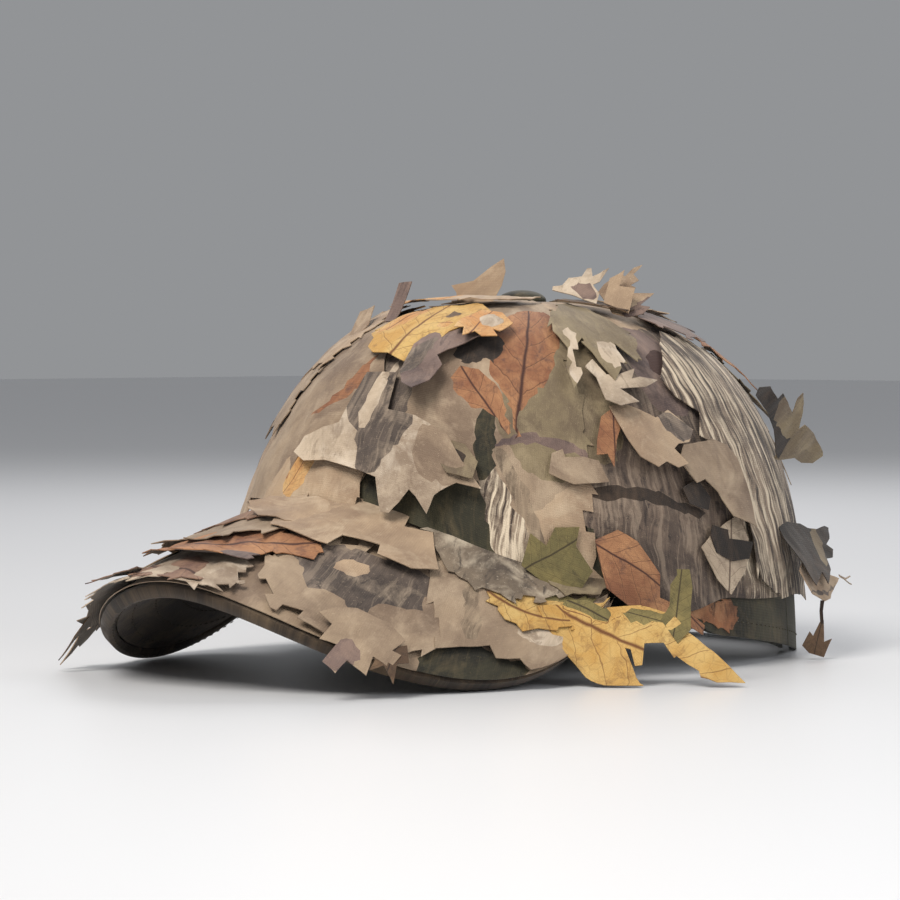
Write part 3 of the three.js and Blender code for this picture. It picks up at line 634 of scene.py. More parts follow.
def leaf_cut(points, rng, pitch=8.0, depth=3.5):
    """Cuts points, barbs and square notches into a polygon's edges, as a leaf-cutting die does."""
    cut = []
    for start, end in zip(points, np.roll(points, -1, axis=0)):
        run = end - start
        length = np.linalg.norm(run)
        cut.append(start)
        if length < pitch * 0.8:
            continue
        along = run / length
        out = np.array([along[1], -along[0]])
        count = max(1, round(length / pitch))
        for step in range(count):
            first = start + run * (step + rng.uniform(0.12, 0.3)) / count
            last = start + run * (step + rng.uniform(0.6, 0.88)) / count
            reach = depth * rng.uniform(0.6, 1.25)
            style = rng.random()
            if style < 0.4:
                tip = (first + last) / 2 + out * reach + along * rng.uniform(-0.3, 0.5) * pitch
                cut += [first, tip, last]
            elif style < 0.7:
                cut += [first, first - out * reach * 0.8, last - out * reach, last]
            else:
                notch = first + along * pitch * 0.3 - out * reach * 0.4
                cut += [first, first + out * reach, notch, last]
    return np.array(cut)


def inside(polygon, spots):
    """Which spots lie inside a polygon."""
    hit = np.zeros(len(spots), bool)
    for (x1, y1), (x2, y2) in zip(polygon, np.roll(polygon, -1, axis=0)):
        if y1 == y2:
            continue
        crosses = (y1 > spots[:, 1]) != (y2 > spots[:, 1])
        hit ^= crosses & (spots[:, 0] < (x2 - x1) * (spots[:, 1] - y1) / (y2 - y1) + x1)
    return hit


def finely(points, spacing):
    """A closed outline with more points along its edges."""
    fine = []
    for start, end in zip(points, np.roll(points, -1, axis=0)):
        steps = max(1, int(np.linalg.norm(end - start) / spacing))
        fine += [start + (end - start) * step / steps for step in range(steps)]
    return fine


def counter_clockwise(points):
    points = np.array(points, float)
    x, y = points[:, 0], points[:, 1]
    turn = np.sum(x * np.roll(y, -1) - np.roll(x, -1) * y)
    return points if turn > 0 else points[::-1]


def softened(loop, seed, wander=0.9):
    """A printed area's border: its corners rounded, and the line wandering a little."""
    loop = np.array(loop, float)
    for _ in range(2):
        following = np.roll(loop, -1, axis=0)
        loop = np.stack([0.75 * loop + 0.25 * following, 0.25 * loop + 0.75 * following], 1).reshape(-1, 2)
    fine = np.array(finely(loop, 1.6))
    shifts = [[noise.noise(Vector((x * 0.35, y * 0.35, layer))) for layer in (seed, seed + 5)]
              for x, y in fine]
    return fine + np.array(shifts) * wander * 2


def triangulate(outline, regions, spacing):
    """Triangles inside an outline, with the number of the last region that each lies in, or -1."""
    low, high = outline.min(0), outline.max(0)
    rows = np.arange(low[1], high[1], spacing * 0.87)
    grid = [(x + (spacing / 2 if n % 2 else 0), y) for n, y in enumerate(rows)
            for x in np.arange(low[0], high[0], spacing)]
    grid = np.array(grid) if grid else np.zeros((0, 2))
    spots = list(grid[inside(outline, grid)]) if len(grid) else []
    loops = []
    for loop in [outline, *regions]:
        fine = finely(counter_clockwise(loop), spacing)
        loops.append(list(range(len(spots), len(spots) + len(fine))))
        spots += fine
    vertices = [Vector((float(x), float(y))) for x, y in spots]
    made = delaunay_2d_cdt(vertices, [], loops, 1, 1e-3)
    flat = np.array([tuple(v) for v in made[0]])
    kept, region = [], []
    for face, owners in zip(made[2], made[5]):
        if 0 in owners and len(face) == 3:
            kept.append(face)
            region.append(max(owners) - 1)
    used = sorted({i for face in kept for i in face})
    renumber = {old: new for new, old in enumerate(used)}
    faces = np.array([[renumber[i] for i in face] for face in kept])
    return flat[used], faces, region


def crinkles(flat, seed, size):
    """Heights of the cloth's soft creases."""
    return np.array([
        noise.noise(Vector((x * 0.07, y * 0.07, seed)))
        + 0.5 * noise.noise(Vector((x * 0.2, y * 0.2, seed + 9)))
        for x, y in flat
    ]) * size


def leaf_place(flat, base, tip):
    """Each point's share along a leaf from its stalk to its tip, and its share to the side."""
    base, tip = np.array(base), np.array(tip)
    length = np.linalg.norm(tip - base)
    along = (tip - base) / length
    away = flat - base
    across = away[:, 0] * along[1] - away[:, 1] * along[0]
    return np.stack([away @ along, across], -1) / length


def lay_patch(cloth, surface, shape, look, seed, cut=(8.0, 3.5), lift=(1.0, 3.0), hold=(0, 1), crinkle=0.5,
              regions=(), axis=None, spacing=2.6, curl=0.0):
    """Lays one cut piece of cloth whose shape is in the surface's flat millimetres. lift is its height at the
    held edge and at the free one, hold points to the held edge, and curl bends the free edge further up.
    regions are areas of other print: a look, an outline and, for a printed leaf, its axis, which is its stalk
    and its tip."""
    rng = random.Random(seed)
    shape = counter_clockwise(np.array(shape, float))
    if cut:
        shape = leaf_cut(shape, rng, *cut)
    borders = [softened(region[1], seed + number) for number, region in enumerate(regions)]
    flat, faces, region_of = triangulate(shape, borders, spacing)
    towards = np.array(hold, float) / np.linalg.norm(hold)
    reach = flat @ towards
    free = (reach.max() - reach) / max(np.ptp(reach), 1e-6)
    height = lift[0] + (lift[1] - lift[0]) * free**1.6 + curl * np.maximum(free - 0.7, 0) ** 2 * 11
    height = height + crinkles(flat, seed * 3.7, crinkle) * (0.3 + free)
    if not isinstance(surface, Plane):
        height = np.maximum(height, LOWEST_LIFT)
    points = surface.lay(flat, height)
    print_uv = surface.print_uv(flat) + np.array([rng.uniform(0, 400), rng.uniform(0, 400)])
    leaf_uv = leaf_place(flat, *axis) if axis is not None else np.zeros_like(flat)
    slots = [cloth.slots.index(regions[n][0] if n >= 0 else look) for n in region_of]
    for number, (_, _, *leaf_axis) in enumerate(regions):
        mask = np.array(region_of) == number
        if leaf_axis and mask.any():
            own = np.unique(faces[mask])
            leaf_uv[own] = leaf_place(flat[own], *leaf_axis[0])
    cloth.add(points, faces, slots, print_uv, leaf_uv)


def patch(cloth, kind, look, outline, seed, regions=(), axis=None, **options):
    """A piece outlined in the surface's own coordinates: azimuth and level, or side and out."""
    surface = kind(np.mean(np.asarray(outline, float), axis=0))
    shape = surface.flat(outline)
    flat_regions = [(region_look, *map(surface.flat, lines)) for region_look, *lines in regions]
    flat_axis = surface.flat(axis) if axis else None
    lay_patch(cloth, surface, shape, look, seed, regions=flat_regions, axis=flat_axis, **options)


def lobed_leaf(length, width, lobes, rng):
    """An oak or maple leaf's outline, from its stalk at the origin to its tip along +y."""
    sides = []
    for sign in (1, -1):
        points = []
        for lobe in range(lobes):
            start = (lobe + 0.15) / (lobes + 0.6)
            swell = math.sin(math.pi * (0.2 + 0.7 * start)) * width / 2
            points.append((sign * swell * 0.4, length * start))
            points.append((sign * swell * rng.uniform(0.85, 1.05), length * (start + 0.02)))
            points.append((sign * swell * rng.uniform(0.6, 0.8), length * (start + 0.09)))
            points.append((sign * swell * rng.uniform(0.95, 1.25), length * (start + 0.19)))
            points.append((sign * swell * 0.38, length * (start + 0.16)))
        sides.append(points)
    right, left = sides
    return np.array([(width * 0.04, 0), *right, (0, length), *left[::-1], (-width * 0.04, 0)])


def add_sheet(name, node, point_at, columns, rows, outer, thickness, look, slot, size, body="root"):
    """A closed sheet in place of a CAD node's. point_at turns shares across and along it, and an inset, into
    points; outer is the inset of its outer face, and size is its print's in millimetres."""
    across, along = np.meshgrid(np.linspace(0, 1, columns + 1), np.linspace(0, 1, rows + 1))
    across, along = across.ravel(), along.ravel()
    top, bottom = point_at(across, along, outer), point_at(across, along, outer - thickness)
    cell = np.arange((columns + 1) * rows).reshape(rows, columns + 1)[:, :-1].ravel()
    a, b, c, d = cell, cell + 1, cell + columns + 2, cell + columns + 1
    faces = np.concatenate([np.stack([a, b, c], -1), np.stack([a, c, d], -1)])
    under, rim = closing_faces(faces, len(top))
    uv = np.stack([across * size[0], along * size[1]], -1) * MM
    uvs = {"print": np.concatenate([uv, uv])}
    faces = [tuple(map(int, face)) for face in faces] + under + rim
    points = np.concatenate([top, bottom])
    add_object(name, points, faces, [look], [0] * len(faces), uvs, body, [node], slot, 60)


# ---- Base cap ----

SIDES = (("left", 1), ("right", -1))
PLACES = ("front", "side", "rear")


def crown_sheet(start, end, bottom, top):
    """point_at for a stretch of the dome between azimuths, narrowed by half a seam at each end."""
    def point_at(across, along, inset):
        azimuth = start + (end - start) * across
        level = bottom(azimuth) + (top(azimuth) - bottom(azimuth)) * along**1.3
        margin = 0.2 / (HALF_WIDTH * np.cos(level * math.pi / 2) ** 0.75) / DEGREE
        return crown(start + margin + (end - start - 2 * margin) * across, level, inset)
    return point_at


def add_base_cap():
    for side, sign in SIDES:
        for number, place in enumerate(PLACES):
            start, end = sorted((sign * number * PANEL_SPAN, sign * (number + 1) * PANEL_SPAN))
            bottom = lambda azimuth: level_at_height(azimuth, arch_height(azimuth, ARCH_EDGING))
            top = lambda azimuth: level_at_radius(azimuth, SHANK_HOLE_RADIUS)
            add_sheet(f"crown_cloth_{place}_{side}", f"crown_panel_{place}_{side}",
                      crown_sheet(start, end, bottom, top), 40, 34, PANEL_TOP, PANEL_CLOTH,
                      "base", "base_cloth", (95, 130))
        start, end = sorted((0, sign * PANEL_SPAN))
        low = lambda azimuth: level_at_height(azimuth, SEWN_GAP)
        high = lambda azimuth: level_at_radius(azimuth, BUCKRAM_TOP_RADIUS)
        add_sheet(f"buckram_mesh_{side}", f"buckram_front_{side}", crown_sheet(start, end, low, high), 26, 22,
                  BUCKRAM_TOP, BUCKRAM, "buckram", "buckram", (95, 110))


def add_seam_tapes():
    names = ("front", "front_left", "rear_left", "rear", "rear_right", "front_right")
    for number, name in enumerate(names):
        middle = number * PANEL_SPAN
        bottom = level_at_height(middle, arch_height(middle, ARCH_EDGING + TAPE_WIDTH / 2) + SEWN_GAP)
        top = level_at_radius(middle, TAPE_TOP_RADIUS)

        def point_at(across, along, inset, middle=middle, bottom=bottom, top=top):
            level = bottom + (top - bottom) * along**1.3
            on_seam = crown(middle, level, inset)
            radius = np.hypot(on_seam[:, 0], on_seam[:, 1])
            return crown(middle + (across - 0.5) * TAPE_WIDTH / radius / DEGREE, level, inset)

        add_sheet(f"inner_seam_tape_{name}", f"seam_tape_{name}", point_at, 6, 26, TAPE_TOP, TAPE_CLOTH,
                  "binding", "binding_cloth", (TAPE_WIDTH, 110))


def add_sweatband():
    low = lambda azimuth: level_at_height(azimuth, SEWN_GAP)
    high = lambda azimuth: level_at_height(azimuth, SWEATBAND_WIDTH)
    add_sheet("sweatband_cloth", "sweatband", crown_sheet(-SWEATBAND_SPAN, SWEATBAND_SPAN, low, high), 120, 8,
              SWEATBAND_TOP, SWEATBAND, "sweatband", "sweatband_cloth", (430, SWEATBAND_WIDTH))


def add_opening_edging():
    def point_at(across, along, inset):
        turn = math.pi * across
        width = (ARCH_EDGING - EDGING_GAP) * along
        azimuth = 180 - (ARCH_HALF_SPAN + width / REAR_REACH / DEGREE) * np.cos(turn)
        height = (ARCH_HEIGHT + width) * np.sin(turn)
        round_over = 0.5 * np.sin(math.pi * along) * np.sign(inset - (PANEL_TOP - 0.5))
        return crown(azimuth, level_at_height(azimuth, np.maximum(height, 0)), inset + round_over)
    add_sheet("opening_edging", "rear_opening_binding", point_at, 90, 6, PANEL_TOP, PANEL_CLOTH,
              "binding", "binding_cloth", (190, 4))


def add_visor():
    face = lambda across, along, depth: visor(1 - 2 * across, along, depth, VISOR_CLOTH_TRIM)
    layers = (("top", VISOR_TOP_CLOTH_TOP), ("under", VISOR_UNDER_CLOTH_TOP))
    for place, outer in layers:
        add_sheet(f"visor_cloth_{place}", f"visor_{place}_cloth", face, 90, 24, outer, VISOR_CLOTH,
                  "base_brown", "base_cloth", (190, VISOR_LENGTH))

    def edge(across, along, depth):
        side = np.sign(depth - (VISOR_TOP_CLOTH_TOP + VISOR_UNDERSIDE) / 2)
        bulge = 0.6 * side * np.sin(math.pi * np.clip(along, 0, 1)) - 0.3 * side
        return visor((1 - 2 * across) * 0.985, 1, depth + bulge, VISOR_BINDING_TRIM * (1 - along))
    add_sheet("visor_binding", "visor_edge_binding", edge, 160, 6, VISOR_TOP_CLOTH_TOP,
              VISOR_TOP_CLOTH_TOP - VISOR_UNDERSIDE, "base_brown", "binding_cloth", (330, 5))


def add_strap():
    def strap(start, end, margin):
        def point_at(across, along, inset):
            azimuth = start + (end - start) * across
            height = STRAP_LOW_EDGE + margin + (STRAP_WIDTH - 2 * margin) * along
            return crown(azimuth, level_at_height(azimuth, height), inset)
        return point_at
    pieces = (
        ("strap_sewn_end", "strap_anchor", 135, 148.6, HOOK_TAB_TOP, "tape", "root"),
        ("strap_tab", "strap_hook_tab", 149, 196, HOOK_TAB_TOP, "tape", "strap_tab"),
        ("hook_pile", "hook_patch", 165.1, 194.9, HOOK_PATCH_TOP, "pile", "strap_tab"),
        ("loop_pile", "loop_patch", 165.1, 194.9, LOOP_PATCH_TOP, "pile", "root"),
        ("strap_under_tab", "strap_loop_tab", 164, 225, LOOP_TAB_TOP, "tape", "root"),
    )
    kinds = {
        "tape": (0, STRAP_CLOTH, "binding", "binding_cloth"),
        "pile": (PATCH_MARGIN, PATCH_CLOTH, "closure", "closure_tape"),
    }
    for name, node, start, end, outer, kind, body in pieces:
        margin, thickness, look_name, slot = kinds[kind]
        add_sheet(name, node, strap(start, end, margin), 40, 8, outer, thickness, look_name, slot,
                  ((end - start) * 1.8, STRAP_WIDTH), body)


def finish_kept_nodes():
    """The visor board and the button's back stay as the CAD model has them, with a look of their own."""
    kept = {"visor_board": "board", "button_back": "metal"}
    for node, look_name in kept.items():
        mesh = frame["nodes"][node].data
        mesh.materials.clear()
        mesh.materials.append(LOOKS[look_name])


def add_button():
    """The covered button: a cloth dome on its flat seat, with a shank through the crown."""
    radius, wall, rise, shank, segments = 8, 1.0, 3.4, 2, 40
    seat = CROWN_HEIGHT + PANEL_TOP + SEWN_GAP
    shank_end = CROWN_HEIGHT + PANEL_TOP - PANEL_CLOTH - 0.8 - 1.2 - SEWN_GAP
    profile = [(0.05, shank_end), (shank, shank_end), (shank, seat)]
    profile += [(radius - 0.6, seat), (radius, seat + wall / 2), (radius, seat + wall)]
    profile += [(radius * math.cos(t), seat + wall + rise * math.sin(t)) for t in np.linspace(0.15, 1.5, 9)]
    points, faces = [], []
    for reach, height in profile:
        for step in range(segments):
            turn = 2 * math.pi * step / segments
            points.append((reach * math.cos(turn), reach * math.sin(turn), height))
    for row in range(len(profile) - 1):
        for step in range(segments):
            a = row * segments + step
            b = row * segments + (step + 1) % segments
            faces.append((a, b, b + segments, a + segments))
    faces.append(tuple(range(segments))[::-1])
    last = (len(profile) - 1) * segments
    faces.append(tuple(range(last, last + segments)))
    uv = np.array([(x * MM, y * MM) for x, y, _ in points])
    add_object("covered_button", np.array(points), faces, ["base"], [0] * len(faces), {"print": uv},
               "root", ["top_button"], "base_cloth", 60)


add_base_cap()
add_seam_tapes()
add_sweatband()
add_opening_edging()
add_button()
add_visor()
add_strap()
finish_kept_nodes()


# ---- Stitching ----

def add_stitches(name, rows, body, slot, pitch=3.2, length=2.2, width=0.5):
    """Short lozenges of thread along lines on the cloth; a row is its points and their outward directions."""
    points, faces = [], []
    for line, outward in rows:
        steps = np.linalg.norm(np.diff(line, axis=0), axis=1)
        run = np.concatenate([[0], np.cumsum(steps)])
        spots = np.arange(pitch / 2, run[-1] - length / 2, pitch)
        for middle in spots:
            ends = [np.array([np.interp(middle + shift, run, line[:, k]) for k in range(3)])
                    for shift in (-length / 2, 0, length / 2)]
            out = np.array([np.interp(middle, run, outward[:, k]) for k in range(3)])
            side = np.cross(ends[2] - ends[0], out)
            side *= width / 2 / np.linalg.norm(side)
            first = len(points)
            points += [ends[0], ends[1] + side, ends[2], ends[1] - side, ends[1] + out * width * 0.55,
                       ends[1] - out * width * 0.3]
            for a, b in ((0, 1), (1, 2), (2, 3), (3, 0)):
                faces += [(first + a, first + 4, first + b), (first + a, first + b, first + 5)]
    points = np.array(points)
    uv = points[:, :2] * MM
    add_object(name, points, faces, ["thread"], [0] * len(faces), {"print": uv}, body, [], slot, 180)


def visor_row(out, depth, above, trim=0.0):
    side = np.linspace(0.96, -0.96, 140)
    line = visor(side, out, depth, trim)
    normal = visor_normal(line[:, 0])
    return line, normal if above else -normal


def away_from_axis(azimuth, rise=0.0):
    """Outward directions round the crown."""
    return np.stack([np.sin(azimuth * DEGREE), -np.cos(azimuth * DEGREE), np.full_like(azimuth, rise)], -1)


def crown_row(start, end, height, inset, outside):
    azimuth = np.linspace(start, end, 160)
    line = crown(azimuth, level_at_height(azimuth, height), inset)
    outward = away_from_axis(azimuth)
    return line, outward if outside else -outward


def add_stitching():
    outs = (0.16, 0.3, 0.44, 0.58, 0.72, 0.86)
    add_stitches("stitches_visor_under", [visor_row(out, -5.3, False) for out in outs], "root", "base_cloth")
    edge = [visor_row(0.985, -5.55, False, 0.4), visor_row(0.985, -0.95, True, 0.4)]
    add_stitches("stitches_visor_edge", edge, "root", "binding_cloth")
    hem = [crown_row(68, 142, 5.0, -1.55, True), crown_row(218, 292, 5.0, -1.55, True)]
    add_stitches("stitches_hem", hem, "root", "base_cloth")
    band = [crown_row(-128, 128, height, -7.55, False) for height in (3.0, 27.5)]
    add_stitches("stitches_sweatband", band, "root", "sweatband_cloth")
    across = np.linspace(0.04, 0.96, 120) * math.pi
    middle = ARCH_EDGING / 2
    azimuth = 180 - (ARCH_HALF_SPAN + middle / REAR_REACH / DEGREE) * np.cos(across)
    level = level_at_height(azimuth, np.maximum((ARCH_HEIGHT + middle) * np.sin(across), 0.5))
    row = (crown(azimuth, level, -1.0), away_from_axis(azimuth, 0.3))
    add_stitches("stitches_opening", [row], "root", "binding_cloth")
    strap = [crown_row(150, 195, height, -3.35, True) for height in (3.6, 19.4)]
    add_stitches("stitches_strap", strap, "strap_tab", "binding_cloth")


add_stitching()


# ---- Leaf-cut cloth on the crown ----

PRINTS = ("taupe", "tan", "pale", "bark", "mottle", "trunk", "mauve", "olive", "dark", "lichen", "brush")
BLADES = ("rust", "russet", "yellow", "amber", "moss", "grey", "umber")
ALL_SLOTS = PRINTS + BLADES + ("base", "base_orange", "back")


def cover_outline(start, end):
    """A panel's cover: from its raised lower edge at the back up to the button, clear of the rear opening."""
    azimuths = np.arange(start - 1.5, end + 1.6, 3.0)
    raised = 12 * smoothstep((folded(azimuths) - 78) / 16) + 6 * smoothstep((folded(azimuths) - 94) / 41)
    bottom = level_at_height(azimuths, np.maximum(0.35 + raised, arch_height(azimuths, 14)))
    top = level_at_radius(azimuths, 11)
    lower = list(zip(azimuths, bottom))
    upper = list(zip(azimuths, top))[::-1]
    return lower + upper[::3] + upper[-1:]


GROUNDS = {
    "front_left": ("taupe", (
        ("trunk", ((3, 0.1), (2, 0.25), (3, 0.42), (18, 0.42), (19, 0.1))),
        ("pale", ((8.5, 0.1), (8, 0.3), (9, 0.4), (11, 0.4), (12, 0.24), (13, 0.1))),
        ("olive", ((40, 0.28), (44, 0.45), (50, 0.62), (64, 0.62), (64, 0.2), (52, 0.12), (42, 0.2))),
        ("tan", ((44, 0.0), (52, 0.12), (64, 0.18), (64, -0.02), (50, -0.02))),
        ("base", ((12, -0.03), (12, 0.07), (30, 0.09), (38, 0.1), (44, 0.02), (50, -0.03))),
        ("bark", ((37, 0.13), (41, 0.15), (44, 0.08), (50, 0.02), (51, -0.03), (42, -0.03), (39, 0.05))),
        ("base", ((36, 0.1), (36, 0.28), (40, 0.29), (41, 0.17), (40, 0.1))),
        ("brush", ((40, 0.19), (43, 0.18), (48, 0.1), (53, 0.01), (51, -0.01), (46, 0.07), (41, 0.15))),
        ("mauve", ((41, 0.2), (45, 0.23), (50, 0.245), (58, 0.235), (63, 0.22), (63, 0.2), (55, 0.215),
                   (50, 0.222), (45, 0.205), (41, 0.18))),
        ("rust", ((41, 0.74), (35, 0.6), (38, 0.5), (37, 0.42), (41, 0.36), (44, 0.31), (45, 0.22),
                  (45.7, 0.22), (45.5, 0.31), (50, 0.35), (54, 0.42), (57, 0.52), (61, 0.62),
                  (61, 0.74), (52, 0.78)), ((45, 0.21), (50, 0.78))),
        ("rust",
         ((29, 0.43), (27, 0.36), (31, 0.3), (35, 0.27), (38, 0.29), (45, 0.2), (42, 0.33), (38, 0.4)),
         ((45, 0.2), (29, 0.42))),
        # Painted shade: a dark patch on the ground cloth where the lifted amber flap above shades it.
        ("dark", ((25, 0.47), (27, 0.58), (41, 0.58), (40.5, 0.49), (37.5, 0.44), (35, 0.47),
                  (32, 0.42), (28, 0.44))),
    )),
    "side_left": ("mottle", (
        ("olive", ((58, 0.2), (58, 0.7), (70, 0.72), (80, 0.6), (72, 0.4), (70, 0.2))),
        ("tan", ((58, 0.72), (64, 0.95), (122, 0.95), (122, 0.7), (84, 0.68))),
        ("mauve", ((80, 0.45), (83, 0.62), (90, 0.7), (102, 0.68), (106, 0.5), (96, 0.38), (84, 0.36))),
        ("russet", ((88, 0.5), (90, 0.56), (96, 0.6), (100, 0.56), (97, 0.52), (92, 0.49))),
        # Painted shadow: a dark band that stands for shadow on the ground cloth below the lifted flaps.
        ("dark",
         ((58, 0.135), (66, 0.152), (76, 0.16), (90, 0.165), (90, 0.148), (78, 0.138), (60, 0.12))),
        ("base", ((55, 0.06), (60, 0.075), (66, 0.035), (60, -0.02), (55, -0.02))),
        ("bark", ((96, -0.02), (100, 0.2), (96, 0.4), (104, 0.62), (122, 0.62), (122, -0.02))),
    )),
    "rear_left": ("brush", (
        ("bark", ((118, 0.0), (118, 0.6), (138, 0.55), (142, 0.3), (138, 0.0))),
        ("tan", ((118, 0.62), (118, 0.95), (182, 0.95), (182, 0.7), (150, 0.62))),
    )),
    "rear_right": ("taupe", (
        ("mottle", ((178, 0.5), (178, 0.9), (205, 0.9), (214, 0.6), (200, 0.45))),
        ("bark", ((214, 0.1), (212, 0.5), (226, 0.7), (241, 0.5), (241, 0.1))),
    )),
    "side_right": ("tan", (
        ("brush", ((238, 0.1), (240, 0.5), (262, 0.6), (270, 0.3), (264, 0.05))),
        ("bark", ((272, 0.1), (270, 0.6), (286, 0.8), (301, 0.6), (298, 0.1))),
    )),
    "front_right": ("taupe", (
        ("olive", ((298, 0.1), (300, 0.6), (318, 0.7), (326, 0.4), (316, 0.1))),
        ("trunk", ((330, 0.5), (334, 0.8), (350, 0.85), (352, 0.6), (340, 0.5))),
    )),
}
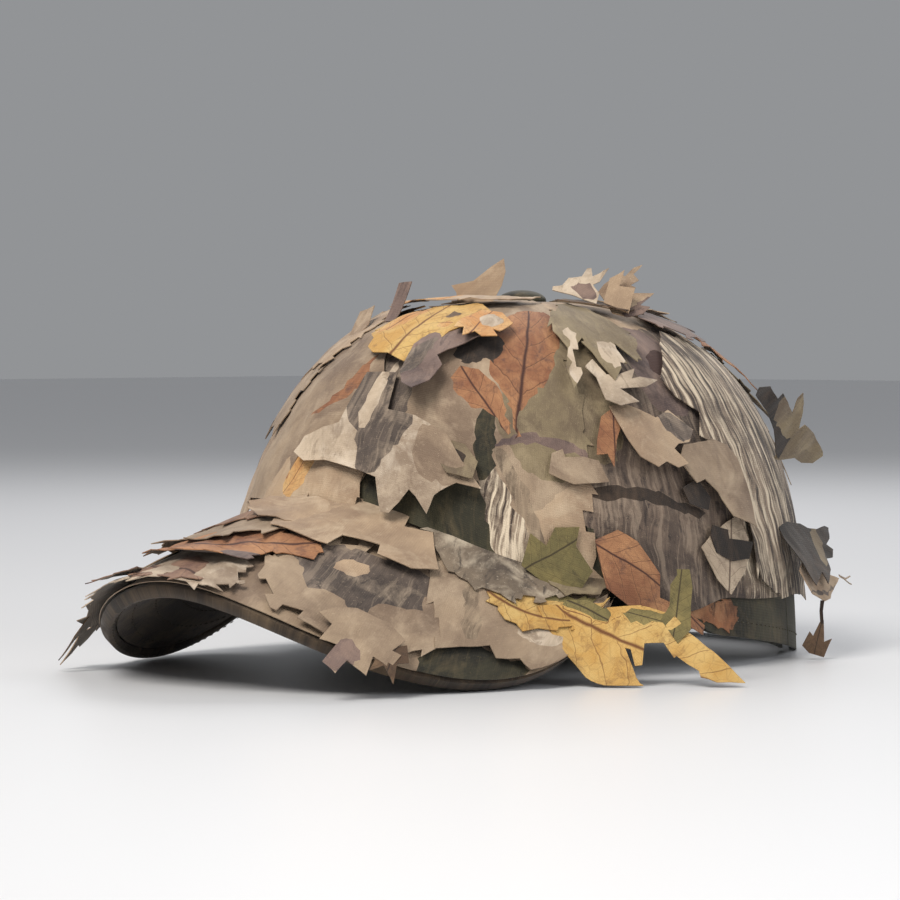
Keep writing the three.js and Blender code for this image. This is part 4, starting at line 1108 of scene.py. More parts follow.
# Flaps that the photograph shows, from the lowest layer up: look, outline, and how each one stands.
CROWN_FLAPS = (
    ("tan", ((-52, 0.02), (-50, 0.27), (-34, 0.3), (-24, 0.2), (-26, 0.0), (-40, -0.01)),
     dict(lift=(1, 6), hold=(1, 0.4),
          regions=(("trunk", ((-56, 0.04), (-54, 0.2), (-44, 0.25), (-39, 0.14), (-44, 0.05))),))),
    ("taupe", ((-54, 0.22), (-52, 0.46), (-34, 0.5), (-22, 0.36), (-26, 0.18)),
     dict(lift=(2, 7), hold=(1, 0.3),
          regions=(("mauve", ((-57, 0.26), (-54, 0.4), (-45, 0.44), (-40, 0.36), (-47, 0.27))),))),
    ("tan", ((-56, 0.42), (-52, 0.68), (-30, 0.72), (-16, 0.56), (-24, 0.36)),
     dict(lift=(2, 6), hold=(1, 0.2),
          regions=(("olive", ((-58, 0.5), (-52, 0.64), (-40, 0.67), (-42, 0.56), (-50, 0.48))),))),
    ("taupe", ((-30, 0.02), (-32, 0.3), (-26, 0.62), (-14, 0.64), (-6, 0.45), (4, 0.44), (8, 0.3),
               (8, 0.14), (-4, 0.08), (-16, 0.0)),
     dict(lift=(1.2, 2.2), cut=(14, 1.5), crinkle=0.7, hold=(0.4, 1),
          regions=(("rust", ((-10, 0.165), (-6, 0.2), (-3, 0.255), (-1.5, 0.31), (0, 0.36), (1.5, 0.41),
                             (2.5, 0.37), (3.5, 0.33), (7, 0.3), (4, 0.27), (0, 0.235), (-5, 0.19)),
                    ((-10, 0.165), (1.5, 0.41))),))),
    ("tan", ((-16, -0.02), (-11, 0.06), (-6, 0.09), (2, 0.075), (13, 0.06), (13, 0.0), (4, -0.02)),
     dict(lift=(1.4, 4), cut=(16, 1.5), crinkle=1.2,
          regions=(("amber", ((-9, 0.03), (-6, 0.08), (-2, 0.085), (0, 0.05), (-2, 0.0), (-6, -0.01)),
                    ((-7, 0), (-3, 0.08))),))),
    ("taupe", ((52, 0.15), (53, 0.2), (55.5, 0.215), (56, 0.197), (60, 0.205), (63.5, 0.2), (65, 0.155),
               (60, 0.145), (57, 0.138)), dict(lift=(1, 2.4), cut=None)),
    ("grey",
     ((86, 0.09), (90, 0.12), (94, 0.14), (99, 0.16), (101, 0.12), (98, 0.07), (92, 0.035), (89, 0.05)),
     dict(lift=(1, 3), cut=None, axis=((91, 0.03), (97, 0.16)))),
    ("bark", ((88, 0.47), (93, 0.53), (98, 0.6), (106, 0.66), (118, 0.62), (132, 0.56), (138, 0.42),
              (139, 0.2), (136, 0.06), (122, 0.05), (108, 0.045), (103, 0.06), (101, 0.2), (99, 0.29),
              (93, 0.32), (96, 0.38), (90, 0.42)),
     dict(lift=(1.2, 2.2), cut=(18, 2.5), crinkle=0.4, spacing=3.0)),
    ("dark", ((83, 0.185), (86, 0.205), (88.5, 0.215), (91, 0.185), (89.5, 0.16), (84, 0.158)),
     dict(lift=(1.6, 2.0), cut=None)),
    ("dark", ((90, 0.135), (94, 0.13), (94, 0.115), (100, 0.112), (98, 0.085), (94, 0.08), (90, 0.09),
              (89, 0.115)), dict(lift=(1.8, 4), cut=None, hold=(-1, 0.3))),
    ("olive", ((57, 0.6), (59, 0.72), (66, 0.8), (75, 0.82), (84, 0.72), (87, 0.6), (81, 0.5),
               (77, 0.57), (74, 0.46), (70.5, 0.41), (68, 0.47), (66, 0.57), (63.5, 0.54), (62, 0.42),
               (59, 0.37), (58, 0.44), (60, 0.52)),
     dict(lift=(1.2, 4.5), cut=(12, 1.6), crinkle=0.8,
          regions=(("pale", ((61, 0.63), (65, 0.6), (63.5, 0.5), (61, 0.38), (58, 0.4), (60, 0.5))),
                   ("pale", ((70, 0.56), (76, 0.58), (78, 0.5), (73, 0.45), (70, 0.46)))))),
    ("pale", ((64, 0.46), (66, 0.42), (66, 0.34), (69, 0.325), (74.5, 0.35), (71, 0.385), (79, 0.41),
              (85, 0.45), (79, 0.445), (76, 0.43), (79, 0.475), (73, 0.44), (69, 0.43), (67, 0.49)),
     dict(lift=(2.0, 6.5), cut=None, crinkle=1.0)),
    ("rust", ((65.5, 0.31), (68, 0.33), (70, 0.335), (69.5, 0.28), (68, 0.25), (66.3, 0.185),
              (65.3, 0.215), (62.8, 0.21), (63.5, 0.25)),
     dict(lift=(1.6, 3.0), cut=None, axis=((66.3, 0.18), (69, 0.34)))),
    ("tan", ((68, 0.34), (73, 0.352), (80, 0.335), (85, 0.37), (91, 0.33), (88, 0.295), (84, 0.28),
             (82, 0.262), (84.5, 0.235), (81, 0.215), (78, 0.218), (75, 0.195), (71.5, 0.21),
             (70, 0.25)),
     dict(lift=(1.6, 6), cut=None, crinkle=1.0,
          regions=(("trunk", ((79, 0.35), (84, 0.36), (92, 0.34), (88, 0.29), (82, 0.3))),))),
    ("mauve", ((14, 0.44), (15.5, 0.31), (18, 0.26), (21, 0.245), (24, 0.29), (25.5, 0.36), (23, 0.40),
               (25, 0.43), (29, 0.47), (33, 0.52), (29, 0.58), (22, 0.62), (16, 0.58)),
     dict(lift=(2.0, 8), cut=None, crinkle=1.3, hold=(-0.3, 1), curl=2.0,
          regions=(("trunk", ((13, 0.3), (15, 0.44), (21, 0.5), (20, 0.4), (18, 0.3))),
                   ("amber", ((14, 0.55), (16, 0.64), (26, 0.62), (22, 0.56)), ((14, 0.58), (26, 0.6)))))),
    ("yellow", ((3, 0.38), (8, 0.385), (14, 0.365), (16, 0.43), (19.5, 0.44), (22, 0.53), (29, 0.6),
                (37, 0.66), (30, 0.72), (25, 0.76), (14, 0.73), (4, 0.71), (-6, 0.64), (-9, 0.5),
                (-3, 0.46), (-1, 0.41)),
     dict(lift=(1.6, 4.0), cut=(14, 2.2), crinkle=1.0, axis=((9, 0.36), (10, 0.78)),
          regions=(("amber", ((-9, 0.5), (-6, 0.64), (4, 0.71), (4, 0.6), (-1, 0.5)),
                    ((-3, 0.45), (0, 0.72))),
                   ("umber", ((14, 0.63), (17, 0.68), (22, 0.66), (20, 0.62)), ((14, 0.63), (22, 0.67)))))),
    ("amber", ((24, 0.6), (29, 0.69), (38, 0.68), (43, 0.61), (39, 0.535), (36.5, 0.55), (38.5, 0.505),
               (34, 0.49), (31.5, 0.515), (28.5, 0.475), (27.5, 0.53), (24.5, 0.52)),
     dict(lift=(2.4, 6.5), cut=None, crinkle=0.9, axis=((30, 0.48), (34, 0.7)),
          regions=(("pale", ((30, 0.6), (33, 0.66), (41, 0.62), (37, 0.56), (33, 0.56))),))),
    ("olive",
     ((28.5, 0.15), (31, 0.165), (34, 0.165), (37, 0.13), (36, 0.085), (31, 0.08), (28.5, 0.11)),
     dict(lift=(1.6, 6.5), cut=None, crinkle=1.3,
          regions=(("dark", ((31, 0.145), (34.5, 0.14), (33.5, 0.105), (31, 0.11))),))),
    ("moss", ((46, 0.0), (48, 0.035), (51, 0.025), (53, 0.055), (58, 0.065), (57, 0.035), (60, 0.01),
              (57, -0.015), (52, -0.03)), dict(lift=(1.4, 4), cut=None, axis=((47, 0.0), (58, 0.05)))),
    ("rust", ((61, 0.05), (66, 0.07), (70, 0.055), (74, 0.02), (73, 0.0), (79, 0.0), (83, -0.01),
              (82, -0.035), (74, -0.03), (66, -0.03), (62, 0.0)),
     dict(lift=(1.4, 5.5), cut=None, axis=((62, 0.04), (82, -0.02)))),
    ("mauve", ((-17, 0.6), (-18.5, 0.7), (-10.5, 0.71), (-10, 0.6)),
     dict(lift=(1.5, 11), cut=None, hold=(0.2, -1), crinkle=0.3, spacing=1.5)),
    ("tan", ((-30, 0.5), (-34, 0.6), (-27, 0.63), (-22, 0.57), (-22, 0.5)),
     dict(lift=(1.5, 7), cut=None, hold=(0.5, -1), crinkle=0.4, spacing=1.8)),
    ("tan", ((-60, 0.8), (-30, 0.86), (0, 0.88), (40, 0.9), (62, 0.88), (44, 0.82), (30, 0.77),
             (10, 0.74), (-10, 0.72), (-36, 0.7)),
     dict(lift=(1.5, 5.0), cut=(9, 3.0), crinkle=0.9,
          regions=(("amber", ((-40, 0.7), (-30, 0.84), (0, 0.86), (10, 0.76), (-10, 0.7)),
                    ((-38, 0.72), (8, 0.84))),))),
    ("umber", ((70, 0.84), (90, 0.86), (104, 0.82), (106, 0.74), (94, 0.72), (84, 0.77), (74, 0.79)),
     dict(lift=(1.6, 4.5), cut=(9, 2.5), axis=((72, 0.8), (104, 0.78)))),
    ("mauve", ((104, 0.66), (108, 0.76), (124, 0.78), (132, 0.66), (124, 0.6), (112, 0.6)),
     dict(lift=(1.6, 4.0), cut=(9, 3.0))),
)


def add_grounds():
    for number, (place, (look_name, regions)) in enumerate(GROUNDS.items()):
        start = number * PANEL_SPAN
        cloth = Cloth(f"leaf_cloth_{place}", ALL_SLOTS)
        height = -0.75 if number % 2 else -0.3
        patch(cloth, Dome, look_name, cover_outline(start, start + PANEL_SPAN), 100 + number, cut=(12.0, 2.8),
              lift=(height, height + 0.5), crinkle=0.15, regions=regions, spacing=3.0)
        cloth.build("root", [f"leaf_cover_{place}"], "leaf_cloth", (0.115, 0.14))


def add_base_print():
    """The orange-brown patch printed on the base cap, where it shows below the leaves."""
    cloth = Cloth("base_cap_print", ALL_SLOTS)
    outline = ((83, 0.003), (84, 0.02), (88, 0.03), (92, 0.028), (95, 0.032), (97, 0.02), (95, 0.003),
               (89, 0.005))
    patch(cloth, Dome, "base_orange", outline, 150, cut=(5.0, 1.2), lift=(LOWEST_LIFT, LOWEST_LIFT),
          crinkle=0, spacing=2.0)
    cloth.build("root", [], "base_cloth", (0.03, 0.02))


def add_photo_flaps():
    cloth = Cloth("leaf_flaps_seen", ALL_SLOTS)
    for number, (look_name, outline, options) in enumerate(CROWN_FLAPS):
        patch(cloth, Dome, look_name, outline, 200 + number, **options)
    cloth.build("root", [], "leaf_cloth")


# ---- Leaf-cut cloth on the visor ----

VISOR_FLAPS = (
    ("tan", ((-0.95, 0.1), (-0.7, 0.05), (-0.5, 0.35), (-0.55, 0.8), (-0.8, 1.02), (-1.0, 0.7)),
     dict(lift=(0.8, 3.5))),
    ("taupe", ((-0.62, 0.3), (-0.4, 0.25), (-0.2, 0.5), (-0.25, 0.95), (-0.45, 1.04), (-0.62, 0.8)),
     dict(lift=(1.0, 5))),
    ("russet", ((-0.5, 0.02), (-0.2, 0.0), (0.02, 0.05), (0.0, 0.35), (-0.2, 0.45), (-0.42, 0.3)),
     dict(lift=(1.0, 4), axis=((-0.48, 0.1), (0.0, 0.25)))),
    ("pale",
     ((-0.3, 0.7), (-0.1, 0.6), (0.1, 0.7), (0.16, 0.9), (0.1, 1.03), (-0.1, 1.08), (-0.3, 1.02)),
     dict(lift=(1.0, 4))),
    ("taupe", ((0.12, 0.4), (0.3, 0.3), (0.52, 0.35), (0.62, 0.55), (0.6, 0.8), (0.53, 0.9),
               (0.49, 1.0), (0.44, 1.08), (0.4, 1.0), (0.33, 0.98), (0.24, 0.97), (0.16, 0.8)),
     dict(lift=(0.8, 2.6), cut=(14, 4.2), crinkle=0.8,
          regions=(("trunk", ((0.14, 0.52), (0.22, 0.4), (0.46, 0.34), (0.54, 0.45), (0.5, 0.55),
                              (0.52, 0.66), (0.42, 0.66), (0.4, 0.84), (0.34, 0.7), (0.26, 0.78),
                              (0.24, 0.64))),
                   ("tan", ((0.26, 0.52), (0.34, 0.44), (0.38, 0.5), (0.32, 0.6)))))),
    ("taupe", ((0.48, 0.3), (0.56, 0.15), (0.75, 0.2), (0.97, 0.55), (0.95, 0.9), (0.86, 1.01),
               (0.78, 0.99), (0.75, 0.88), (0.7, 0.86), (0.68, 0.77), (0.62, 0.8), (0.57, 0.85),
               (0.54, 0.6)),
     dict(lift=(1.0, 2.6), cut=(16, 3.0), crinkle=0.8,
          regions=(("brush",
                    ((0.57, 0.2), (0.61, 0.2), (0.63, 0.45), (0.66, 0.75), (0.62, 0.76), (0.59, 0.45))),
                   ("pale", ((0.72, 0.6), (0.9, 0.55), (0.96, 0.7), (0.88, 0.86), (0.78, 0.8)))))),
    ("lichen", ((0.42, 0.03), (0.6, 0.04), (0.82, 0.08), (0.9, 0.3), (0.78, 0.42), (0.66, 0.38),
                (0.56, 0.34), (0.48, 0.2)), dict(lift=(1.2, 2.6), cut=(9, 2.5))),
    ("taupe",
     ((-0.3, 0.3), (-0.14, 0.2), (0.04, 0.26), (0.1, 0.42), (-0.02, 0.62), (-0.2, 0.66), (-0.34, 0.5)),
     dict(lift=(1.4, 5), cut=(12, 4.0), crinkle=1.6, curl=2.5)),
    ("rust", ((-0.18, 0.66), (-0.08, 0.5), (0.06, 0.42), (0.19, 0.4), (0.24, 0.5), (0.16, 0.6),
              (0.12, 0.76), (0.02, 0.86), (-0.1, 0.88)),
     dict(lift=(1.6, 5), cut=(12, 3.2), crinkle=1.6, curl=2.0, axis=((-0.16, 0.84), (0.22, 0.44)),
          regions=(("mauve", ((0.04, 0.76), (0.12, 0.66), (0.2, 0.66), (0.1, 0.86))),))),
    ("russet", ((-0.12, 0.86), (-0.02, 0.8), (0.12, 0.84), (0.14, 0.98), (0.02, 1.06), (-0.12, 1.02)),
     dict(lift=(1.6, 4.5), cut=(10, 3.5), crinkle=1.5, axis=((-0.12, 0.9), (0.14, 0.98)))),
    ("tan", ((-0.06, 0.2), (0.06, 0.1), (0.2, 0.16), (0.2, 0.3), (0.08, 0.38), (-0.06, 0.34)),
     dict(lift=(2.0, 6), cut=(11, 3.0), crinkle=1.4, hold=(1, 0.6))),
    ("tan", ((-0.02, 0.16), (0.14, 0.02), (0.36, 0.0), (0.37, 0.13), (0.45, 0.1), (0.51, 0.36),
             (0.45, 0.43), (0.36, 0.42), (0.35, 0.34), (0.25, 0.36), (0.24, 0.47), (0.06, 0.44)),
     dict(lift=(2.0, 4.2), cut=None, crinkle=0.9)),
    ("yellow", ((0.64, 0.38), (0.72, 0.28), (0.84, 0.32), (0.93, 0.46), (0.97, 0.7), (0.9, 0.8),
                (0.8, 0.66), (0.7, 0.58)),
     dict(lift=(1.4, 3.2), cut=(13, 2.4), crinkle=0.9, axis=((0.66, 0.4), (0.96, 0.74)),
          regions=(("moss", ((0.68, 0.26), (0.84, 0.26), (0.98, 0.48), (0.96, 0.6), (0.84, 0.42)),
                    ((0.7, 0.3), (0.96, 0.6))),))),
    ("olive",
     ((0.74, 0.02), (0.84, 0.0), (0.9, 0.05), (0.98, 0.2), (0.96, 0.42), (0.88, 0.36), (0.8, 0.24)),
     dict(lift=(1.6, 4), cut=(7, 2.4))),
)


def add_visor_leaves():
    cloth = Cloth("leaf_cloth_visor", ALL_SLOTS)
    sides = np.linspace(-0.98, 0.98, 40)
    edge = [(s, 0.99) for s in sides] + [(s, 0.035) for s in sides[::-1]]
    hole = ("base", ((0.55, 0.86), (0.6, 0.79), (0.66, 0.75), (0.72, 0.82), (0.78, 0.9), (0.78, 1.1),
                     (0.55, 1.1)))
    brush = ("brush", ((-0.6, 0.0), (-0.5, 0.6), (-0.2, 0.6), (-0.3, 0.0)))
    patch(cloth, Brim, "taupe", edge, 300, cut=(12.0, 3.4), lift=(-0.5, 0.0), crinkle=0.12,
          regions=(brush, hole), spacing=3.0)
    cloth.build("root", ["leaf_cover_visor"], "leaf_cloth", (0.2, 0.11))
    flaps = Cloth("leaf_flaps_visor", ALL_SLOTS)
    for number, (look_name, outline, options) in enumerate(VISOR_FLAPS):
        patch(flaps, Brim, look_name, outline, 310 + number, **options)
    flaps.build("root", [], "leaf_cloth")


# ---- Flaps that the photograph doesn't show: the far side, the back and the top ----

def scattered_shape(rng, size):
    """A cut flap about a spot: a lobed leaf pointing down, or a torn oblong."""
    if rng.random() < 0.5:
        leaf = lobed_leaf(size * 1.25, size * 0.9, rng.choice((2, 3)), rng)
        return np.array([[x, size * 0.6 - y] for x, y in leaf]), None
    half = size / 2
    shape = [(-half, -half * 0.7), (-half * 0.2, -half), (half * 0.9, -half * 0.8), (half, half * 0.5),
             (half * 0.3, half), (-half * 0.9, half * 0.8)]
    return np.array([(x * rng.uniform(0.8, 1.15), y * rng.uniform(0.8, 1.15)) for x, y in shape]), (8.0, 3.4)


def add_scattered_flaps():
    rng = random.Random(41)
    groups = {
        "rear_left": (138, 180), "rear_right": (180, 240),
        "side_right": (240, 300), "front_right": (300, 312),
    }
    looks = ("taupe", "mottle", "olive", "mauve", "brush", "trunk",
             "russet", "rust", "moss", "grey", "umber", "amber")
    for place, (start, end) in groups.items():
        cloth = Cloth(f"leaf_flaps_{place}", ALL_SLOTS)
        seed = 400 + start
        for row, level in enumerate((0.1, 0.22, 0.35, 0.48, 0.62, 0.78)):
            radius = HALF_WIDTH * math.cos(level * math.pi / 2) ** 0.75
            step = 26 / radius / DEGREE
            azimuth = start + (row % 2) * step / 2 + 4
            while azimuth < end - 2:
                spot = (azimuth + rng.uniform(-4, 4), level + rng.uniform(-0.03, 0.03))
                azimuth += step
                seed += 1
                size = rng.uniform(27, 38)
                low_edge = crown(*spot)[2] - size * 0.6
                bare_band = 12 if folded(spot[0]) > 100 else 4
                if low_edge < max(float(arch_height(spot[0], 14)), bare_band) - 4:
                    continue
                shape, cut = scattered_shape(rng, size)
                surface = Dome(spot)
                turn = rng.uniform(-0.5, 0.5)
                spin = np.array([[math.cos(turn), math.sin(turn)], [-math.sin(turn), math.cos(turn)]])
                shape = shape @ spin
                stalk = np.array([(0, size * 0.6), (0, -size * 0.6)]) @ spin
                lay_patch(cloth, surface, shape, rng.choice(looks), seed, cut=cut, axis=stalk,
                          lift=(1.0 + 0.4 * (row % 2), rng.uniform(3.5, 6.5)), crinkle=0.9, spacing=3.2)
        cloth.build("root", [], "leaf_cloth")


# ---- Loose leaves on their joints ----

def hinge(joint_name):
    """A joint's place, in millimetres from the crown's axis, and its direction."""
    joint = next(j for j in frame["joints"] if j["name"] == joint_name)
    return (np.array(joint["pos_m"], float) - np.array(AXIS)) / MM, np.array(joint["axis"], float)


def leaf_plane(joint_name, node, bend=0.0, lowest=None, facing=None):
    """The flat frame of a hinged leaf: its hinge line, and the direction from the hinge to its tip."""
    origin, axis = hinge(joint_name)
    points = np.array([v.co for v in frame["nodes"][node].data.vertices], float)
    centre = (points.mean(0) - np.array(AXIS)) / MM
    along = centre - origin
    along -= axis * (along @ axis)
    return Plane(origin, facing or axis, along, bend, lowest)


def add_loose_leaf(name, joint_name, node, slot, pieces, rests_on, flat, **plane_options):
    """pieces are (look, outline in millimetres from the hinge, options)."""
    cloth = Cloth(name, ALL_SLOTS)
    plane = leaf_plane(joint_name, node, **plane_options)
    for number, (look_name, outline, options) in enumerate(pieces):
        settings = dict(cut=None, lift=(0, 0), hold=(0, -1), crinkle=0.7, spacing=1.8)
        settings.update(options)
        lay_patch(cloth, plane, outline, look_name, 500 + len(name) + number, **settings)
    cloth.build(node, [node], slot, flat)


FRONT_FLAP = (
    ("pale", ((-4.5, 0.1), (0, 0.125), (4, 0.14), (3.5, 0.32), (13, 0.33), (15, 0.2), (22, 0.2),
              (30, 0.17), (33.5, 0.12), (38, 0.075), (33, 0.07), (30, 0.045), (29, 0.035), (28, 0.008),
              (25.5, 0.025), (24, 0.032), (22.5, 0.01), (21, -0.002), (19.3, -0.004), (17, 0.035),
              (12, 0.04), (4, 0.048), (-1, 0.042), (-5.5, 0.062)),
     dict(lift=(2.2, 7.5), cut=None, crinkle=1.2, spacing=2.2,
          regions=(("trunk", ((0, 0.34), (5, 0.15), (10, 0.12), (12, 0.04), (16, 0.03), (20, 0.12),
                              (22, 0.21), (16, 0.34))),
                   ("pale", ((7.5, 0.34), (8, 0.14), (12, 0.12), (11.5, 0.34))),
                   ("taupe", ((24, 0.2), (23, 0.1), (26, 0.06), (31, 0.06), (40, 0.07), (32, 0.18)))))),
)
SIDE_FLAP = (
    ("taupe", ((86, 0.285), (91, 0.3), (96, 0.31), (100, 0.3), (102, 0.27), (102, 0.2), (100, 0.135),
               (94, 0.15), (92, 0.195), (89, 0.215), (86, 0.2), (83, 0.24)),
     dict(lift=(2.4, 6), cut=None, crinkle=0.8)),
)
YELLOW_LEAF = (
    ("yellow", ((26, 5), (19, 4), (14, 8), (12, 13), (10, 14), (3, 19), (0, 23), (-3, 28), (-3, 35),
                (-5, 49), (-6, 58), (1, 53), (4, 49), (3, 47), (5, 39), (6, 39), (5, 33), (10, 30),
                (15, 35), (17, 34), (14.5, 29), (15.5, 27.5), (19, 37), (19.5, 41), (28, 33), (32, 26),
                (33, 21), (34, 13), (32, 6)),
     dict(crinkle=1.6, axis=((28, -6), (6, 44)), lift=(0.5, 0),
          regions=(("moss", ((23, 3), (18, 3), (13, 7), (10.5, 15), (14, 18), (18, 12), (22, 2)),
                    ((24, -8), (13, 18))),
                   ("moss", ((9, 16), (0, 24), (-4, 28), (1, 29), (8, 22)), ((9, 16), (0, 29)))))),
    ("moss", ((1, 27), (-4, 25), (-8.5, 20), (-12, 19), (-13, 17.5), (-16, 20), (-13, 25), (-9, 29),
              (-4, 35), (2, 36)),
     dict(crinkle=0.6, lift=(0.7, 3.4), hold=(0.7, 0.7), axis=((0, 32), (-15, 18)))),
)
CREST_LEAF = (
    ("tan", ((-2, 0), (-10, 7), (-9.5, 10.5), (-7.7, 15.7), (-6.8, 18), (-5, 17.3), (-4, 22.7),
             (-2, 25.6), (-3, 20), (-0.5, 19), (-1.8, 14.7), (0, 15), (0, 12), (6, 16.6), (4.2, 8.7),
             (7.4, 9.8), (6.5, 5.8), (2.8, 1.5)),
     dict(crinkle=2.2, regions=(("mauve", ((0, 2), (3, 8), (6, 17), (9, 9), (5, 1))),))),
    ("pale", ((-23, -1.5), (-23.5, 0), (-21, 2), (-20.5, 6), (-17, 8.7), (-17, 13.5), (-15.8, 14.2),
              (-14, 11), (-12.6, 12.7), (-10.5, 16.2), (-11, 10), (-12.4, 7.4), (-9, 5), (-8, 0),
              (-16, -0.5)),
     dict(crinkle=2.0, lift=(1.0, 3.0), regions=(("mauve", ((-18, 0), (-18, 6), (-12, 7), (-9, 1))),))),
    ("tan", ((-6, 1), (-8, 10), (-5, 15), (-4, 9), (1, 10), (3, 1)), dict(crinkle=1.8, lift=(2.0, 6.0))),
)
TOP_TIP = (
    ("tan", ((1, -0.5), (-1.5, 3), (-5, 6), (1, 8), (3, 14), (5, 17.5), (9, 12), (11.5, 6), (13, -1),
             (7, -1.5)), dict(crinkle=0.6)),
)
REAR_UPPER = (
    ("olive", ((2, 0), (1, 7), (1.5, 10.5), (4, 15.3), (14, 15.4), (20, 14.5), (28, 13), (30, 12),
               (28.5, 8), (21.5, 5.5), (14, 5), (8, 2)),
     dict(crinkle=1.0, axis=((3, 3), (27, 12)), lift=(0, 2))),
    ("dark", ((-2, 2), (-12, 7), (-24, 9.5), (-38, 11), (-40.5, 13.5), (-35, 16.2), (-26, 14.8),
              (-25.5, 17.3), (-10, 15), (-14, 19.6), (-14.2, 22), (-8.3, 20), (1.2, 12.6), (1.3, 9),
              (3, 1)),
     dict(crinkle=1.2, lift=(0.8, 4),
          regions=(("olive", ((-25.5, 17.3), (-20, 10), (-6, 8), (3, 8), (0, 14), (-8, 21), (-15, 23))),))),
)
REAR_LOWER = (
    ("pale", ((-26, 22.6), (-31, 24), (-36, 23.6), (-36, 24.1), (-31, 24.6), (-26, 23.4)),
     dict(crinkle=0.6, spacing=1.0)),
    ("pale", ((-26, 23), (-30, 25.5), (-34, 26.8), (-34.2, 26.4), (-30, 25), (-26, 22.4)),
     dict(crinkle=0.9, spacing=1.0)),
    ("tan", ((-4, 14), (-10, 19), (-18, 20.8), (-27, 23.4), (-16, 27), (-8.9, 29.4), (-2.9, 29.8),
             (6, 26.5), (7, 18)),
     dict(crinkle=0.8, lift=(-0.5, -1.5),
          regions=(("trunk", ((-20, 25), (-10, 27), (8, 25), (8, 26.4), (-9, 28.4), (-22, 26))),))),
    ("dark", ((-2, 0), (-19, 2), (-24, 4), (-30, 5.2), (-40, 4.5), (-43, 5.4), (-35, 9.7), (-29, 11.4),
              (-31, 13.8), (-26.5, 16.5), (-21, 16.2), (-16.5, 20.7), (-5, 25.4), (-6.3, 20.9), (6, 25),
              (6.3, 19), (6, 8), (3, 1)),
     dict(crinkle=1.2, lift=(0, 2.5),
          regions=(("olive", ((-26, 3), (-18, 10), (-12, 20), (-20, 18), (-30, 6))),))),
)
VISOR_TIP_RIGHT = (
    ("umber", ((-4, 0), (-8, 4), (-6, 8), (-8, 12), (-3, 13), (-1, 20), (2, 28), (3, 18), (7, 15),
               (5, 10), (8, 5), (4, 0)), dict(crinkle=1.0, lift=(3.8, 0.5), axis=((0, 0), (2, 28)))),
    ("tan", ((5, 1), (3, 8), (8, 12), (4, 17), (9, 20), (12, 26), (14, 17), (18, 16), (15, 9), (19, 4),
             (12, 2)), dict(crinkle=1.2, lift=(3.6, 1.5))),
)
VISOR_TIP_FRONT = (
    ("russet", ((-3, 0), (-9, 5), (-5, 7), (-10, 12), (-4, 12), (-6, 18), (-2, 17), (0, 25), (1.5, 17),
                (5, 20), (4, 13), (10, 11), (5, 7), (9, 3), (3, 0)),
     dict(crinkle=1.8, axis=((0, 0), (0, 25)))),
)
VISOR_TIP_LEFT = (
    ("taupe", ((-7, 0), (-13, 3), (-11, 9), (-14, 9), (-13, 15), (-7, 14), (-8, 21), (-1, 19), (0, 26),
               (5, 24), (4, 16), (9, 17), (8, 10), (13, 8), (9, 3), (4, 0)),
     dict(crinkle=1.2, lift=(4.2, 1.0),
          regions=(("mauve", ((-3, 12), (-4, 20), (2, 28), (7, 22), (3, 12))),))),
    ("umber", ((-14, 4), (-17, 10), (-14, 12), (-16, 19), (-11, 15), (-8, 18), (-8, 10)),
     dict(crinkle=1.2, lift=(3.4, 0.6), axis=((-11, 3), (-13, 19)))),
)


def over_visor(points):
    """The lowest that the yellow leaf may lie: on the visor's leaves where it crosses them, or on the table."""
    behind = np.maximum(points[:, 1] + 40, 0)
    return np.maximum(visor_height(points[:, 0], points[:, 1]) + 3.2 - 1.3 * behind, 0.8)


def add_crown_flap(node, pieces, seed, flat):
    """A loose flap that lies on the dome."""
    cloth = Cloth(f"{node}_cut", ALL_SLOTS)
    for number, (look_name, outline, options) in enumerate(pieces):
        patch(cloth, Dome, look_name, outline, seed + number, **options)
    cloth.build(node, [node], "leaf_cloth", flat)


def add_hanging_leaf():
    """The leaf that hangs from the rear one: a stem and a dark three-pointed leaf, turned to the side."""
    plane = Plane(hinge("hanging_swing")[0], (-0.55, -0.83, 0), (0, 0, -1))
    cloth = Cloth("hanging_leaf_cut", ALL_SLOTS)
    blade = ((0.4, 6), (3, 11), (4.2, 9.5), (6.8, 14), (4.4, 16.5), (-0.6, 18), (-3.4, 12), (-0.8, 13),
             (-0.6, 6))
    stem = ((-0.8, -0.5), (0.5, -0.5), (0.8, 3), (0.5, 7), (-0.6, 7), (-0.3, 3))
    level = dict(cut=None, lift=(0, 0), hold=(0, -1))
    lay_patch(cloth, plane, blade, "umber", 620, crinkle=0.5, spacing=1.2, axis=((0, 6), (3, 18)), **level)
    lay_patch(cloth, plane, stem, "umber", 621, crinkle=0.1, spacing=0.8, **level)
    cloth.build("hanging_leaf", ["hanging_stem", "hanging_leaf"], "dark_leaf_cloth",
                (0.0112, 0.0187))


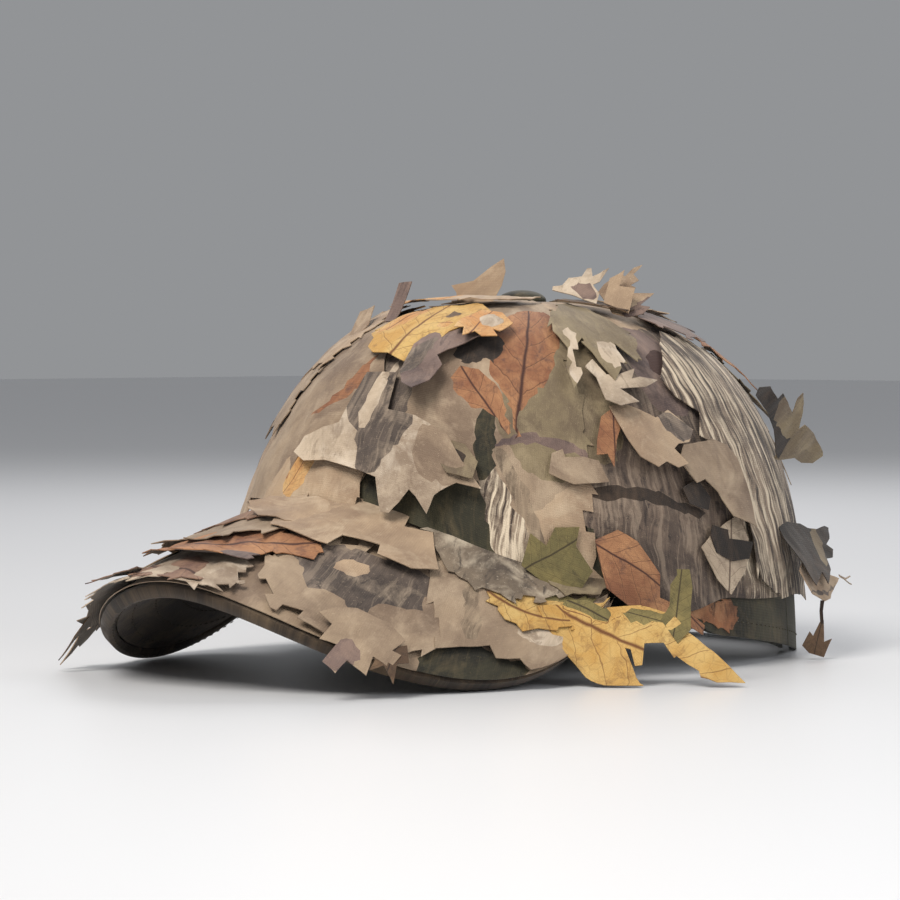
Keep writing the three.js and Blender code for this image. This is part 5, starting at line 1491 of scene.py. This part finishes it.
def add_loose_leaves():
    add_crown_flap("front_flap", FRONT_FLAP, 600, (0.066, 0.058))
    add_crown_flap("side_flap", SIDE_FLAP, 605, (0.034, 0.042))
    light, dark, yellow = "leaf_cloth", "dark_leaf_cloth", "yellow_leaf_cloth"
    crown_seen, crown_rear = "leaf_flaps_seen", "leaf_cloth_rear_left"
    visor_cover, visor_flaps = "leaf_cloth_visor", "leaf_flaps_visor"
    over, turned, bent = dict(lowest=over_visor), dict(facing=(0.8, 0.6, 0.0)), dict(bend=-4)
    leaves = (
        ("yellow_leaf", "yellow_leaf_lift", yellow, YELLOW_LEAF, visor_flaps, (0.05, 0.059), over),
        ("crest_leaf", "crest_leaf_lift", light, CREST_LEAF, crown_seen, (0.035, 0.035), {}),
        ("top_tip_leaf", "top_tip_lift", light, TOP_TIP, crown_seen, (0.018, 0.019), turned),
        ("rear_upper_leaf", "rear_upper_lift", dark, REAR_UPPER, crown_rear, (0.04, 0.05), {}),
        ("rear_lower_leaf", "rear_lower_lift", dark, REAR_LOWER, crown_rear, (0.05, 0.05), {}),
        ("visor_tip_right", "visor_tip_right_lift", dark, VISOR_TIP_RIGHT, visor_cover, (0.028, 0.03), bent),
        ("visor_tip_front", "visor_tip_front_lift", light, VISOR_TIP_FRONT, visor_cover, (0.022, 0.027), {}),
        ("visor_tip_left", "visor_tip_left_lift", light, VISOR_TIP_LEFT, visor_flaps, (0.03, 0.026), {}),
    )
    for node, joint_name, slot, pieces, rests_on, flat, options in leaves:
        add_loose_leaf(f"{node}_cut", joint_name, node, slot, pieces, rests_on, flat, **options)
    add_hanging_leaf()


add_base_print()
add_grounds()
add_photo_flaps()
add_visor_leaves()
add_scattered_flaps()
add_loose_leaves()


# ---- Floor, lights and world ----

def add_stage():
    mesh = bpy.data.meshes.new("floor")
    mesh.from_pydata([(-6, -6, 0), (6, -6, 0), (6, 6, 0), (-6, 6, 0)], [], [(0, 1, 2, 3)])
    floor = bpy.data.objects.new("floor", mesh)
    material = bpy.data.materials.new("pale_floor")
    material.use_nodes = True
    shader = material.node_tree.nodes["Principled BSDF"]
    shader.inputs["Base Color"].default_value = srgb(226, 226, 228)
    shader.inputs["Roughness"].default_value = 0.35
    mesh.materials.append(material)
    bpy.context.scene.collection.objects.link(floor)


def add_light(name, azimuth, elevation, distance, size, power, tint=(1, 1, 1)):
    data = bpy.data.lights.new(name, "AREA")
    data.size = size
    data.energy = power
    data.color = tint
    light = bpy.data.objects.new(name, data)
    target = AXIS + Vector((0, 0, 0.06))
    light.location = target + direction(azimuth, elevation) * distance
    light.rotation_mode = "QUATERNION"
    light.rotation_quaternion = (target - light.location).to_track_quat("-Z", "Y")
    bpy.context.scene.collection.objects.link(light)


def add_world():
    world = bpy.data.worlds.new("studio")
    world.use_nodes = True
    background = world.node_tree.nodes["Background"]
    background.inputs["Color"].default_value = (0.8, 0.82, 0.85, 1)
    background.inputs["Strength"].default_value = 0.36
    bpy.context.scene.world = world
    bpy.context.scene.view_settings.view_transform = "Standard"


add_stage()
add_light("key", 8, 50, 1.3, 0.6, 14.5, (1, 0.97, 0.92))
add_light("fill", 95, 30, 1.5, 0.9, 6, (0.96, 0.98, 1))
add_light("back", 215, 45, 1.4, 0.8, 8)
add_world()
